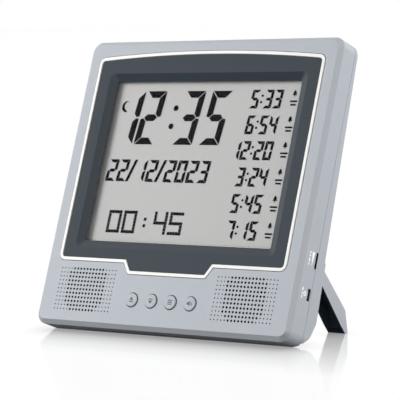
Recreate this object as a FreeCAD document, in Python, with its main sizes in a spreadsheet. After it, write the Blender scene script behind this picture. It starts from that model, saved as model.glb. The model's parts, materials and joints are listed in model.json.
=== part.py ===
import FreeCAD, Part
import math
import os
import re
import Sketcher

os.makedirs("parts", exist_ok=True)

# Desk clock with a leaning housing, a large liquid crystal display, two speakers behind drilled
# grilles, four round buttons, a volume wheel at the side and two legs that fold into the back.
# Every piece is drawn in the housing's own frame: X to the viewer's right along the face,
# Y from the face towards the back, Z up along the face, with the face's lower edge at Z = 0.
# At the end all of them get one tilt, which stands the housing on its lower edge and its two feet.

doc = FreeCAD.newDocument("azan_clock")

# Driving dimensions, in millimetres and degrees
sizes = {
    # housing
    "face_width": 208,
    "face_height": 200.5,
    "edge_bevel": 3,
    "corner_radius": 8,
    "shell_depth": 17,
    "side_wall": 2.2,
    "face_wall": 4.2,
    "grille_wall": 2.2,
    "rear_top_depth": 21,
    "rear_top_height": 198,
    "rear_low_depth": 28.75,
    "rear_low_height": 15.5,
    "rear_crown_depth": 18.5,
    "sole_knee_depth": 24.5,
    "sole_knee_height": 5.4,
    "sole_step_depth": 20,
    "sole_step_height": 0.8,
    "rear_edge_round": 1.2,
    "fit_gap": 0.3,
    "slack": 0.1,
    "sink": 0.2,
    "overrun": 0.5,
    "side_shift": 0.25,
    "seat_gap": 0.12,
    # fascia, its trim and the display window
    "fascia_half_width": 93.3,
    "fascia_bottom": 45.1,
    "fascia_shoulder": 188,
    "fascia_rise": 4.2,
    "fascia_corner": 2.2,
    "tab_half_width": 31.5,
    "tab_run": 4.9,
    "tab_bottom": 37.4,
    "trim_width": 2.7,
    "trim_proud": 0.4,
    "trim_chamfer": 0.5,
    "seat_depth": 2.2,
    "fascia_inset": 0.3,
    "window_half_width": 78.5,
    "window_bottom": 58.1,
    "window_top": 173.3,
    "window_corner": 1.2,
    "frame_half_width": 84.2,
    "frame_bottom": 52.2,
    "frame_top": 179.2,
    "frame_corner": 4.5,
    "window_depth": 2.9,
    "rim_width": 1.4,
    # display
    "lens_thickness": 1,
    "lens_half_width": 83.5,
    "lens_bottom": 53,
    "lens_top": 178.4,
    "glass_half_width": 82,
    "glass_bottom": 54.5,
    "glass_top": 177,
    "glass_thickness": 1.1,
    "contact_ledge": 4,
    "reflector_thickness": 0.3,
    "tray_half_width": 88,
    "tray_bottom": 47.5,
    "tray_top": 183.5,
    "tray_back": 1.4,
    "strip_half_length": 70,
    "strip_width": 2.2,
    "board_gap": 0.8,
    "board_thickness": 1.6,
    "main_board_half_width": 76,
    "main_board_top": 112,
    "main_chip": 18,
    "main_chip_height": 2,
    "small_chip": 9,
    "small_chip_height": 1.6,
    "crystal_height": 3,
    "capacitor_radius": 3.2,
    "capacitor_height": 5.5,
    "chip_row": 90,
    "tray_window_low": 118,
    "tray_window_width": 34,
    "tray_window_height": 27,
    "tray_window_bar": 4,
    "tray_post_across": 70,
    "tray_post_low": 64,
    "tray_post_high": 104,
    # buttons
    "button_spacing": 16.4,
    "button_height": 17.2,
    "button_radius": 4.85,
    "button_gap": 0.35,
    "button_proud": 0.9,
    "button_flange": 6.2,
    "button_flange_thickness": 1,
    "button_edge": 0.5,
    "button_stem": 2.2,
    "button_length": 4.8,
    "plunger_radius": 1.7,
    "plunger_length": 1.9,
    "plunger_showing": 0.8,
    "switch_size": 6,
    "switch_thickness": 2.4,
    "switch_gap": 0.15,
    "switch_floor": 0.5,
    "button_board_half_width": 33,
    "button_board_bottom": 5.5,
    "button_board_top": 29.5,
    "post_radius": 2.4,
    "board_hole_inset": 2.7,
    "board_hole_radius": 0.9,
    # grilles
    "grille_first": 43.5,
    "hole_pitch": 2.8,
    "hole_rise": 2.88,
    "hole_corner": 1,
    "grille_low_row": 7.9,
    # speakers
    "speaker_across": 67.7,
    "speaker_height": 23.2,
    "speaker_radius": 17.5,
    "speaker_rim": 1.2,
    "speaker_rim_width": 2,
    "basket_wall": 1,
    "basket_shoulder": 3.4,
    "basket_waist": 12,
    "basket_depth": 7.3,
    "basket_plate": 0.8,
    "coil_radius": 3.6,
    "magnet_radius": 8.5,
    "magnet_length": 4.5,
    "cone_start": 0.3,
    "cone_step": 1.5,
    "cone_thickness": 0.6,
    "cone_foot": 5.2,
    "cloth_thickness": 0.3,
    "speaker_collar_wall": 1.2,
    "speaker_collar_height": 2.6,
    # volume wheel and power inlet at the right side
    "wheel_radius": 8,
    "wheel_thickness": 1.8,
    "wheel_height": 54.35,
    "wheel_inset": 0.35,
    "wheel_slot_length": 10.9,
    "wheel_slot_depth": 2.4,
    "wheel_notch": 0.6,
    "wheel_notch_half_width": 0.45,
    "wheel_notches": 24,
    "wheel_hub_bore": 2,
    "pot_radius": 6,
    "pot_shaft": 1.95,
    "side_board_inner": 87.5,
    "side_board_outer": 104,
    "side_board_bottom": 22,
    "side_board_top": 66,
    "side_board_face": 10.9,
    "side_board_thickness": 1.5,
    "side_post_low": 26.5,
    "side_post_high": 62.5,
    "side_post_across": 91,
    "inlet_height": 31.25,
    "inlet_length": 8,
    "inlet_thickness": 3,
    "inlet_reach": 6,
    "inlet_shell": 0.35,
    # legs
    "pivot_height": 51.57,
    "pivot_depth": 24.95,
    "leg_outer_face": 105,
    "leg_width": 13.7,
    "knuckle_radius": 2.2,
    "pin_radius": 1.2,
    "pin_reach": 1,
    "pin_gap": 0.05,
    "leg_open_angle": 60.7,
    "leg_bend": 41.6,
    "leg_length": 54.9,
    "foot_back": 5.9,
    "foot_flat": 3,
    "leg_heel": 45,
    "leg_heel_back": 8.3,
    "leg_neck": 9.5,
    "leg_neck_back": 6,
    "leg_wall": 1.4,
    "recess_floor_depth": 18.2,
    "recess_wall": 1.5,
    # battery bay
    "cell_radius": 7.25,
    "cell_length": 50,
    "cell_nub_radius": 2.7,
    "cell_nub": 1.2,
    "cell_pitch": 15,
    "cell_height": 26.4,
    "cell_depth": 18.6,
    "bay_half_width": 29.3,
    "bay_gap": 0.3,
    "cell_shift": 1.6,
    "spring_base": 4,
    "spring_tip": 2.8,
    "contact_boss": 0.8,
    "bay_wall": 1.4,
    "contact_thickness": 0.4,
    "contact_half_width": 4.5,
    "door_thickness": 1.6,
    "door_margin": 1.8,
    "door_corner": 2,
    "door_frame": 3,
    "door_frame_depth": 6,
    "door_swing_gap": 0.35,
    "door_peg_radius": 0.6,
    "door_peg_reach": 1.4,
    "door_peg_gap": 0.08,
    "door_latch_half_width": 7,
    "door_grips": 5,
    "door_grip_pitch": 1.5,
    "door_grip_width": 0.7,
    "door_grip_depth": 0.4,
    # screws
    "boss_radius": 3.6,
    "boss_pilot": 1.2,
    "boss_side_across": 95,
    "boss_top_height": 190,
    "boss_middle_height": 110,
    "boss_low_across": 41,
    "boss_low_height": 24,
    "screw_head_radius": 2.8,
    "screw_head_height": 1.9,
    "screw_radius": 1.45,
    "screw_length": 11,
    "screw_seat_depth": 19,
    "small_screw_radius": 0.8,
    "small_head_radius": 1.9,
    "small_head_height": 1.1,
    "small_screw_length": 3.6,
    "thread_gap": 0.02,
}

sheet = doc.addObject("Spreadsheet::Sheet", "sizes")
for row, (alias, number) in enumerate(sizes.items(), start=1):
    sheet.set("A%d" % row, alias)
    sheet.set("B%d" % row, str(number))
    sheet.setAlias("B%d" % row, alias)
doc.recompute()


def bound(text):
    """The text of an expression, with each size named as a cell of the sheet."""
    return re.sub(r"[a-z][a-z_]*", lambda m: "sizes." + m.group() if m.group() in sizes else m.group(), text)


def value(text):
    """The number that an expression on the sheet gives now."""
    return float(sheet.evalExpression(bound(text)))


# Lengths that follow from the driving dimensions
half_width = "(face_width / 2 + edge_bevel)"
top_edge = "(face_height + edge_bevel)"
sole_edge = "(-edge_bevel)"
rear_slope = "(rear_low_depth - rear_top_depth) / (rear_top_height - rear_low_height)"
rear_angle = "(atan(%s) / 1 deg)" % rear_slope


def rear_face_at(height):
    """Depth of the flat back of the rear cover at a height."""
    return "(rear_low_depth - (%s - rear_low_height) * %s)" % (height, rear_slope)


lens_front = "(window_depth + slack)"
glass_front = "(%s + lens_thickness + slack)" % lens_front
glass_rear = "(%s + 2 * glass_thickness)" % glass_front
tray_front = "(face_wall + slack)"
tray_floor = "(%s + reflector_thickness + 0.15)" % glass_rear
tray_rear = "(%s + tray_back)" % tray_floor
board_front = "(%s + board_gap)" % tray_rear
cap_foot = "(button_length - button_proud)"
switch_face = "(%s + plunger_showing)" % cap_foot
switch_rear = "(%s + switch_thickness)" % switch_face
wheel_front = "(shell_depth - wheel_slot_depth + side_shift)"
wheel_across = "(%s - wheel_inset - wheel_radius)" % half_width
pot_front = "(side_board_face + side_board_thickness)"
foot_height = "(pivot_height - leg_length * cos(leg_open_angle) - foot_back * sin(leg_open_angle))"
foot_depth = "(pivot_depth + leg_length * sin(leg_open_angle) - foot_back * cos(leg_open_angle))"
lean = "(atan((%s + edge_bevel) / (%s - shell_depth)) / 1 deg)" % (foot_height, foot_depth)
leg_middle = "(leg_outer_face - leg_width / 2)"
bay_front = "(cell_depth - cell_radius - bay_gap)"
bay_bottom = "(cell_height - cell_radius - bay_gap)"
bay_top = "(cell_height + cell_pitch + cell_radius + bay_gap)"

finished = {}
no_turn = FreeCAD.Placement()
backward, rightward, leftward = (0, 1, 0), (1, 0, 0), (-1, 0, 0)


def spot(across, depth, height):
    """A point of the housing's frame, from three expressions."""
    return FreeCAD.Vector(value(across), value(depth), value(height))


def finish(piece, name, place=no_turn):
    """Name a sub-part and note where it lies in the housing."""
    piece.Label = name
    finished[name] = (piece, place)
    return piece


# Sketches and features of a body

def new_body(name):
    return doc.addObject("PartDesign::Body", name + "_body")


def origin_plane(body, role):
    return [feature for feature in body.Origin.OriginFeatures if feature.Role == role][0]


def new_sketch(body, name, plane, offset="0"):
    """A sketch on an origin plane of its body, moved along that plane's normal."""
    sketch = body.newObject("Sketcher::SketchObject", body.Name + "_" + name)
    sketch.AttachmentSupport = [(origin_plane(body, plane), "")]
    sketch.MapMode = "FlatFace"
    sketch.setExpression(".AttachmentOffset.Base.z", bound(offset))
    return sketch


def pin_down(sketch, geometry, end, across, up):
    """Hold one point of a sketch at two distances from its origin."""
    for kind, text in (("DistanceX", across), ("DistanceY", up)):
        held = sketch.addConstraint(Sketcher.Constraint(kind, -1, 1, geometry, end, value(text)))
        sketch.setExpression("Constraints[%d]" % held, bound(text))


def add_outline(sketch, corners, arch=None):
    """A closed outline of straight edges; arch = (edge number, radius) makes one edge an arc."""
    points = [FreeCAD.Vector(value(across), value(up), 0) for across, up in corners]
    lines = []
    for number, start in enumerate(points):
        end = points[(number + 1) % len(points)]
        if arch and arch[0] == number:
            radius = value(arch[1])
            half_chord = (start - end).Length / 2
            drop = math.sqrt(radius ** 2 - half_chord ** 2)
            middle = (start + end) / 2 - FreeCAD.Vector(0, drop, 0)
            span = math.asin(half_chord / radius)
            circle = Part.Circle(middle, FreeCAD.Vector(0, 0, 1), radius)
            edge = Part.ArcOfCircle(circle, math.pi / 2 - span, math.pi / 2 + span)
        else:
            edge = Part.LineSegment(start, end)
        lines.append(sketch.addGeometry(edge))
    for number, line in enumerate(lines):
        following = lines[(number + 1) % len(lines)]
        sketch.addConstraint(Sketcher.Constraint("Coincident", line, 2, following, 1))
        pin_down(sketch, line, 1, *corners[number])
    if arch:
        held = sketch.addConstraint(Sketcher.Constraint("Radius", lines[arch[0]], value(arch[1])))
        sketch.setExpression("Constraints[%d]" % held, bound(arch[1]))
    return sketch


def add_rectangle(sketch, left, right, bottom, top):
    return add_outline(sketch, [(left, bottom), (right, bottom), (right, top), (left, top)])


def add_rounded_rectangle(sketch, left, right, bottom, top, radius):
    """Four sides joined by quarter arcs, each arc's centre held by the radius."""
    size = value(radius)
    corners = [(value(left), value(bottom)), (value(right), value(bottom)),
               (value(right), value(top)), (value(left), value(top))]
    centre_texts = [("%s + %s" % (left, radius), "%s + %s" % (bottom, radius)),
                    ("%s - %s" % (right, radius), "%s + %s" % (bottom, radius)),
                    ("%s - %s" % (right, radius), "%s - %s" % (top, radius)),
                    ("%s + %s" % (left, radius), "%s - %s" % (top, radius))]
    steps = [(1, 0), (0, 1), (-1, 0), (0, -1)]
    arcs, lines = [], []
    for number, (across, up) in enumerate(centre_texts):
        circle = Part.Circle(FreeCAD.Vector(value(across), value(up), 0), FreeCAD.Vector(0, 0, 1), size)
        start = math.pi + number * math.pi / 2
        arcs.append(sketch.addGeometry(Part.ArcOfCircle(circle, start, start + math.pi / 2)))
    for number, (x, y) in enumerate(corners):
        end_x, end_y = corners[(number + 1) % 4]
        step_x, step_y = steps[number]
        line = Part.LineSegment(FreeCAD.Vector(x + step_x * size, y + step_y * size, 0),
                                FreeCAD.Vector(end_x - step_x * size, end_y - step_y * size, 0))
        lines.append(sketch.addGeometry(line))
    for number in range(4):
        following = (number + 1) % 4
        sketch.addConstraint(Sketcher.Constraint("Tangent", arcs[number], 2, lines[number], 1))
        sketch.addConstraint(Sketcher.Constraint("Tangent", lines[number], 2, arcs[following], 1))
        pin_down(sketch, arcs[number], 3, *centre_texts[number])
        held = sketch.addConstraint(Sketcher.Constraint("Radius", arcs[number], size))
        sketch.setExpression("Constraints[%d]" % held, bound(radius))
    return sketch


def add_circle(sketch, across, up, radius):
    middle = FreeCAD.Vector(value(across), value(up), 0)
    circle = sketch.addGeometry(Part.Circle(middle, FreeCAD.Vector(0, 0, 1), value(radius)))
    pin_down(sketch, circle, 3, across, up)
    held = sketch.addConstraint(Sketcher.Constraint("Radius", circle, value(radius)))
    sketch.setExpression("Constraints[%d]" % held, bound(radius))
    return sketch


def add_polygon(sketch, across, up, radius, corners=8):
    turns = ["%g" % (360 * number / corners) for number in range(corners)]
    return add_outline(sketch, [("%s + %s * cos(%s)" % (across, radius, turn), "%s + %s * sin(%s)" % (up, radius, turn))
                                for turn in turns])


def add_feature(body, kind, name, sketch, **settings):
    """A pad, pocket or other sketched feature; texts among its settings are expressions."""
    feature = body.newObject("PartDesign::" + kind, body.Name + "_" + name)
    feature.Profile = sketch
    for key, setting in settings.items():
        if key == "Length":
            feature.setExpression("Length", bound(setting))
        else:
            setattr(feature, key, setting)
    doc.recompute()
    return feature


def pad_back(body, name, draw, depth, length):
    """Pad a face-on sketch from a depth towards the back."""
    sketch = new_sketch(body, name + "_sketch", "XZ_Plane", "-(%s)" % depth)
    draw(sketch)
    return add_feature(body, "Pad", name, sketch, Length=length, Reversed=True)


def checked_cut(body, make):
    """Run a cut and make sure that it took material away."""
    before = body.Shape.Volume
    feature = make()
    if body.Shape.Volume > before - 1e-6:
        raise RuntimeError("no material was cut by " + feature.Name)
    return feature


def pocket_back(body, name, draw, depth, length):
    """Cut a face-on sketch from a depth towards the back."""
    def make():
        sketch = new_sketch(body, name + "_sketch", "XZ_Plane", "-(%s)" % depth)
        draw(sketch)
        return add_feature(body, "Pocket", name, sketch, Length=length)
    return checked_cut(body, make)


def cut_across(body, name, draw, width):
    """Cut a side-on sketch through both ways along X."""
    def make():
        sketch = new_sketch(body, name + "_sketch", "YZ_Plane")
        draw(sketch)
        return add_feature(body, "Pocket", name, sketch, Length=width, SideType="Symmetric")
    return checked_cut(body, make)


def edges_where(body, test):
    """Names of the body's edges that pass a test on the edge."""
    return ["Edge%d" % number for number, edge in enumerate(body.Shape.Edges, start=1) if test(edge)]


def along_depth(edge, corners):
    """True for an edge along Y that stands on one of the given corners of the face."""
    first, last = edge.Vertexes[0].Point, edge.Vertexes[-1].Point
    straight = abs(first.x - last.x) < 1e-4 and abs(first.z - last.z) < 1e-4 and edge.Length > 1e-3
    return straight and any(abs(first.x - x) < 1e-3 and abs(first.z - z) < 1e-3 for x, z in corners)


def soften(body, name, kind, size, edges):
    """Fillet or chamfer the named edges of a body."""
    feature = body.newObject("PartDesign::" + kind, body.Name + "_" + name)
    feature.Base = (body.Tip if body.Tip != feature else feature.BaseFeature, edges)
    feature.setExpression("Radius" if kind == "Fillet" else "Size", bound(size))
    doc.recompute()
    return feature


def round_corners(body, name, size, corners):
    """Round the edges along Y at corners that are given as pairs of expressions."""
    places = [(value(across), value(up)) for across, up in corners]
    edges = edges_where(body, lambda edge: along_depth(edge, places))
    return soften(body, name, "Fillet", size, edges)


def turned(name, profile, place):
    """A body turned about the Y axis, from (radius, depth) corners, then placed."""
    body = new_body(name)
    sketch = new_sketch(body, "profile", "XY_Plane")
    add_outline(sketch, profile)
    revolution = body.newObject("PartDesign::Revolution", body.Name + "_turned")
    revolution.Profile = sketch
    revolution.ReferenceAxis = (sketch, ["V_Axis"])
    revolution.Angle = 360
    doc.recompute()
    return finish(body, name, place)


# Plain solids for booleans

def plain_box(name, left, right, front, back, bottom, top):
    box = doc.addObject("Part::Box", name)
    box.setExpression("Length", bound("%s - (%s)" % (right, left)))
    box.setExpression("Width", bound("%s - (%s)" % (back, front)))
    box.setExpression("Height", bound("%s - (%s)" % (top, bottom)))
    for axis, text in (("x", left), ("y", front), ("z", bottom)):
        box.setExpression(".Placement.Base." + axis, bound(text))
    return box


def round_bar(name, across, front, height, radius, length, along="depth"):
    """A cylinder from a point, towards the back or towards the viewer's right."""
    bar = doc.addObject("Part::Cylinder", name)
    bar.setExpression("Radius", bound(radius))
    bar.setExpression("Height", bound(length))
    axis = FreeCAD.Vector(0, 1, 0) if along == "depth" else FreeCAD.Vector(1, 0, 0)
    bar.Placement = FreeCAD.Placement(FreeCAD.Vector(), FreeCAD.Rotation(FreeCAD.Vector(0, 0, 1), axis))
    for axis_name, text in (("x", across), ("y", front), ("z", height)):
        bar.setExpression(".Placement.Base." + axis_name, bound(text))
    return bar


def set_out(piece, across, front, height, direction):
    """Turn a piece's own Z to a direction and hold its base at a point."""
    turn = FreeCAD.Rotation(FreeCAD.Vector(0, 0, 1), FreeCAD.Vector(*direction))
    piece.Placement = FreeCAD.Placement(FreeCAD.Vector(), turn)
    for axis_name, text in (("x", across), ("y", front), ("z", height)):
        piece.setExpression(".Placement.Base." + axis_name, bound(text))
    return piece


def many_sided(name, across, front, height, radius, length, corners=12, direction=backward):
    """A prism on a regular polygon, given by the radius of its corners."""
    prism = doc.addObject("Part::Prism", name)
    prism.Polygon = corners
    prism.setExpression("Circumradius", bound(radius))
    prism.setExpression("Height", bound(length))
    return set_out(prism, across, front, height, direction)


def tapered(name, across, front, height, radii, length, corners=12, direction=backward):
    """A many-sided piece that goes from one corner radius to another over its length."""
    ends = []
    for number, radius in enumerate(radii):
        ring = doc.addObject("Part::RegularPolygon", "%s_end_%d" % (name, number))
        ring.Polygon = corners
        ring.setExpression("Circumradius", bound(radius))
        place = [across, front, height]
        for axis, step in enumerate(direction):
            if step and number:
                place[axis] = "%s + %d * (%s)" % (place[axis], step, length)
        ends.append(set_out(ring, *place, direction))
    loft = doc.addObject("Part::Loft", name)
    loft.Sections = ends
    loft.Solid = True
    loft.Ruled = True
    return loft


def fused(name, pieces):
    fuse = doc.addObject("Part::MultiFuse", name)
    fuse.Shapes = pieces
    return fuse


def cut_from(name, base, tool):
    cut = doc.addObject("Part::Cut", name)
    cut.Base = base
    cut.Tool = tool
    return cut


def at(across, depth, height, turn=None):
    return FreeCAD.Placement(spot(across, depth, height), turn or FreeCAD.Rotation())


sides = (("left", "-1 *"), ("right", "1 *"))
screw_spots = [(sign + across, height)
               for _, sign in sides
               for across, height in (("boss_side_across", "boss_top_height"),
                                      ("boss_side_across", "boss_middle_height"),
                                      ("boss_low_across", "boss_low_height"))]
button_names = ("up", "down", "set", "sound")
button_spots = ["%s * button_spacing" % shift for shift in ("(-1.5)", "(-0.5)", "0.5", "1.5")]


def shell_outline(sketch, inset):
    side = "(%s - %s)" % (half_width, inset)
    low, high = "(%s + %s)" % (sole_edge, inset), "(%s - %s)" % (top_edge, inset)
    return add_rounded_rectangle(sketch, "-" + side, side, low, high, "(corner_radius - %s)" % inset)


def fascia_outline(sketch, offset):
    """The fascia's outline, moved outwards by an offset, with its arched top and lower tab."""
    side = "(fascia_half_width + %s)" % offset
    shift = "%s * tan(atan((fascia_bottom - tab_bottom) / tab_run) / 2)" % offset
    tab_low = "(tab_half_width + %s)" % shift
    tab_high = "(tab_half_width + tab_run + %s)" % shift
    low, tab = "fascia_bottom - %s" % offset, "tab_bottom - %s" % offset
    shoulder = "fascia_shoulder + %s" % offset
    corners = [("-" + side, low), ("-" + tab_high, low), ("-" + tab_low, tab), (tab_low, tab),
               (tab_high, low), (side, low), (side, shoulder), ("-" + side, shoulder)]
    radius = "(%s ^ 2 + fascia_rise ^ 2) / (2 * fascia_rise)" % side
    return add_outline(sketch, corners, (6, radius))


def fascia_corners(offset):
    side = "(fascia_half_width + %s)" % offset
    low, shoulder = "fascia_bottom - %s" % offset, "fascia_shoulder + %s" % offset
    return [("-" + side, low), (side, low), (side, shoulder), ("-" + side, shoulder)]


# Front shell: bevelled face, seat for the fascia, drilled grilles, button holes and bosses

def make_front_shell():
    body = new_body("front_shell")
    pad_back(body, "block", lambda s: shell_outline(s, "0"), "0", "shell_depth")
    rim = edges_where(body, lambda e: max(v.Point.y for v in e.Vertexes) < 1e-4)
    soften(body, "bevel", "Chamfer", "edge_bevel", rim)

    pocket_back(body, "cavity", lambda s: shell_outline(s, "side_wall"), "face_wall", "shell_depth")

    inner = "(%s - side_wall - corner_radius / 3)" % half_width
    low = "(%s + side_wall + corner_radius / 3)" % sole_edge
    shelf = "(tab_half_width + tab_run + trim_width + 1)"
    under_tab = "(tab_bottom - trim_width - 1.5)"
    under_fascia = "(fascia_bottom - trim_width - 1.2)"
    grille_space = [("-" + inner, low), (inner, low), (inner, under_fascia), (shelf, under_fascia),
                    (shelf, under_tab), ("-" + shelf, under_tab), ("-" + shelf, under_fascia),
                    ("-" + inner, under_fascia)]
    pocket_back(body, "grille_space", lambda s: add_outline(s, grille_space), "grille_wall", "face_wall")

    def boss_circles(radius):
        def draw(sketch):
            for across, height in screw_spots:
                add_polygon(sketch, across, height, radius)
        return draw
    pad_back(body, "bosses", boss_circles("boss_radius"), "grille_wall - sink", "shell_depth - grille_wall + slack")

    def post_circles(radius):
        def draw(sketch):
            for _, sign in sides:
                across = sign + "(button_board_half_width - board_hole_inset)"
                add_polygon(sketch, across, "(button_board_bottom + board_hole_inset)", radius)
        return draw
    board_seat = "%s - grille_wall + slack" % switch_rear
    pad_back(body, "board_posts", post_circles("post_radius"), "grille_wall - sink", board_seat)

    def side_post_circles(radius):
        def draw(sketch):
            for height in ("side_post_low", "side_post_high"):
                add_polygon(sketch, "side_post_across", height, radius)
        return draw
    pad_back(body, "side_posts", side_post_circles("post_radius"), "grille_wall - sink",
             "side_board_face - grille_wall + slack")

    def collars(sketch):
        for _, sign in sides:
            centre = sign + "speaker_across"
            add_polygon(sketch, centre, "speaker_height", "(speaker_radius + fit_gap + speaker_collar_wall)", 24)
            add_polygon(sketch, centre, "speaker_height", "(speaker_radius + fit_gap)", 24)
    pad_back(body, "speaker_collars", collars, "grille_wall - sink", "speaker_collar_height + sink")

    seat = "(trim_width + seat_gap)"
    pocket_back(body, "fascia_seat", lambda s: fascia_outline(s, seat), "0", "seat_depth")
    round_corners(body, "seat_corners", "fascia_corner + %s" % seat, fascia_corners(seat))
    window = ("(frame_half_width + rim_width + seat_gap)", "(frame_bottom - rim_width - seat_gap)",
              "(frame_top + rim_width + seat_gap)")
    pocket_back(body, "window", lambda s: add_rectangle(s, "-" + window[0], *window), "0", "shell_depth")

    pocket_back(body, "boss_pilots", boss_circles("boss_pilot"), "shell_depth - 12", "12.5")
    pocket_back(body, "post_pilots", post_circles("small_screw_radius"), "%s - small_screw_length" % switch_rear,
                "small_screw_length + 1")
    pocket_back(body, "side_pilots", side_post_circles("small_screw_radius"), "side_board_face - small_screw_length",
                "small_screw_length + 1")

    def button_holes(sketch):
        for across in button_spots:
            add_circle(sketch, across, "button_height", "button_radius + button_gap")
    pocket_back(body, "button_holes", button_holes, "0", "face_wall")

    slot_low = "(wheel_height - wheel_slot_length / 2)"
    slot_high = "(wheel_height + wheel_slot_length / 2)"

    def wheel_slot():
        sketch = new_sketch(body, "wheel_slot_sketch", "YZ_Plane", half_width)
        add_rectangle(sketch, "shell_depth - wheel_slot_depth", "shell_depth + 1", slot_low, slot_high)
        return add_feature(body, "Pocket", "wheel_slot", sketch, Length="side_wall + overrun")
    checked_cut(body, wheel_slot)

    def inlet_hole():
        sketch = new_sketch(body, "inlet_sketch", "YZ_Plane", half_width)
        middle = "(%s + inlet_thickness / 2 + side_shift)" % pot_front
        half = "(inlet_thickness / 2 + slack)"
        add_rectangle(sketch, "%s - %s" % (middle, half), "%s + %s" % (middle, half),
                      "inlet_height - inlet_length / 2 - slack", "inlet_height + inlet_length / 2 + slack")
        return add_feature(body, "Pocket", "inlet_hole", sketch, Length="side_wall + overrun")
    checked_cut(body, inlet_hole)
    return make_grilles(body)


# Each grille's rows of holes, from the lowest: the first open column and how many are open
grille_rows = [(5, 8), (4, 10)] + [(3, 12)] * 8 + [(4, 10)]


def make_grilles(shell):
    drills = []
    for row, (first, count) in enumerate(grille_rows):
        for column in range(first, first + count):
            for side, sign in sides:
                across = "%s (grille_first + %d * hole_pitch)" % (sign, column)
                height = "grille_low_row + %d * hole_rise" % row
                drills.append(many_sided("drill_%s_%d_%d" % (side, row, column), across, "-1", height, "hole_corner",
                                         "grille_wall + 2", 4))
    group = doc.addObject("Part::Compound", "grille_drills")
    group.Links = drills
    return finish(cut_from("drilled_shell", shell, group), "front_shell")


# Rear cover: a wedge, deeper at its foot, with leg recesses, battery bay and screw columns

def rear_form(name, start, inset):
    """The wedge behind the parting line, drawn in by an inset all round."""
    body = new_body(name)
    pad_back(body, "block", lambda s: shell_outline(s, inset), start, "rear_low_depth + 4 - (%s)" % start)
    behind = "rear_low_depth + 6"
    over, under = "%s + 5" % top_edge, "%s - 5" % sole_edge
    outside = [("rear_crown_depth - %s" % inset, over),
               ("rear_crown_depth - %s" % inset, top_edge),
               ("rear_top_depth - %s" % inset, "rear_top_height - %s / 2" % inset),
               ("rear_low_depth - %s" % inset, "rear_low_height + %s / 2" % inset),
               ("sole_knee_depth - %s" % inset, "sole_knee_height + %s / 2" % inset),
               ("sole_step_depth - %s" % inset, "sole_step_height + %s / 2" % inset),
               ("shell_depth - %s" % inset, "%s + %s / 2" % (sole_edge, inset)),
               ("shell_depth - %s" % inset, under),
               (behind, under),
               (behind, over)]
    cut_across(body, "wedge", lambda s: add_outline(s, outside), "face_width * 2")
    return body


def make_rear_cover():
    outer = rear_form("rear_outer", "shell_depth", "0")
    back = max(outer.Shape.Faces, key=lambda face: face.Area if face.normalAt(0, 0).y > 0.9 else 0)
    rim = [number for number, edge in enumerate(outer.Shape.Edges, start=1)
           if any(edge.isSame(other) for other in back.Edges)]
    soften(outer, "rim", "Chamfer", "rear_edge_round", ["Edge%d" % number for number in rim])
    cavity = rear_form("rear_cavity", "shell_depth", "side_wall")
    limit = rear_form("rear_limit", "%s - bay_wall" % bay_front, "0")

    recess_inner = "(leg_outer_face - leg_width - fit_gap)"
    roof = "(pivot_height + knuckle_radius + fit_gap)"
    far = "(rear_low_depth + 3)"
    blocks = [plain_box("battery_box", "-(bay_half_width + bay_wall)", "bay_half_width + bay_wall",
                        "%s - bay_wall" % bay_front, far, "%s - bay_wall" % bay_bottom, "%s + bay_wall" % bay_top)]
    cuts = [plain_box("battery_bay", "-bay_half_width", "bay_half_width", bay_front, far, bay_bottom, bay_top)]
    for side, sign in sides:
        inner, outer_edge = "%s - recess_wall" % recess_inner, "%s" % half_width
        low, high = (inner, outer_edge) if side == "right" else ("-" + outer_edge, "-(%s)" % inner)
        blocks.append(plain_box("recess_block_" + side, low, high, "shell_depth", far,
                                "%s - 1" % sole_edge, "%s + recess_wall" % roof))
        cuts.append(make_recess(side, sign, recess_inner, roof, far))
        hole_start = "leg_outer_face - leg_width - pin_reach - slack"
        hole_length = "leg_width + 2 * pin_reach + 2 * slack"
        start = hole_start if side == "right" else "-(leg_outer_face + pin_reach + slack)"
        cuts.append(round_bar("pin_hole_" + side, start, "pivot_depth", "pivot_height", "pin_radius + pin_gap",
                              hole_length, "across"))
    for number, (across, height) in enumerate(screw_spots):
        blocks.append(many_sided("column_%d" % number, across, "shell_depth + slack", height,
                                 "screw_head_radius + 1.7", "%s - shell_depth" % far))
        cuts.append(many_sided("clearance_%d" % number, across, "shell_depth - 1", height,
                               "screw_radius + side_shift", far, 8))
        cuts.append(many_sided("counterbore_%d" % number, across, "screw_seat_depth", height,
                               "screw_head_radius + fit_gap", far))
    blocks.append(plain_box("door_frame_block", "-(%s + door_frame)" % door_half, "%s + door_frame" % door_half,
                            "rear_low_depth - door_frame_depth", far, "%s - door_frame" % door_bottom,
                            "%s + %s + door_frame" % (door_bottom, door_length)))
    seat_half = "(%s + fit_gap)" % door_half
    seat = plain_box("door_seat", "-" + seat_half, seat_half, "-(door_thickness + door_swing_gap)", "rear_low_depth",
                     "-fit_gap", "%s + fit_gap" % door_length)
    peg_hole = door_pegs("peg_hole", "door_peg_radius + door_peg_gap", "door_peg_reach + door_peg_gap")
    door_space = fused("door_space", [seat, peg_hole])
    door_space.Placement = door_place()
    cuts.append(door_space)

    hollow = cut_from("rear_hollow", outer, cavity)
    inside = doc.addObject("Part::Common", "rear_inside")
    inside.Base = fused("rear_blocks", blocks)
    inside.Tool = limit
    solid = fused("rear_solid", [hollow, inside])
    return finish(cut_from("rear_cover_cut", solid, fused("rear_cuts", cuts)), "rear_cover")


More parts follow.
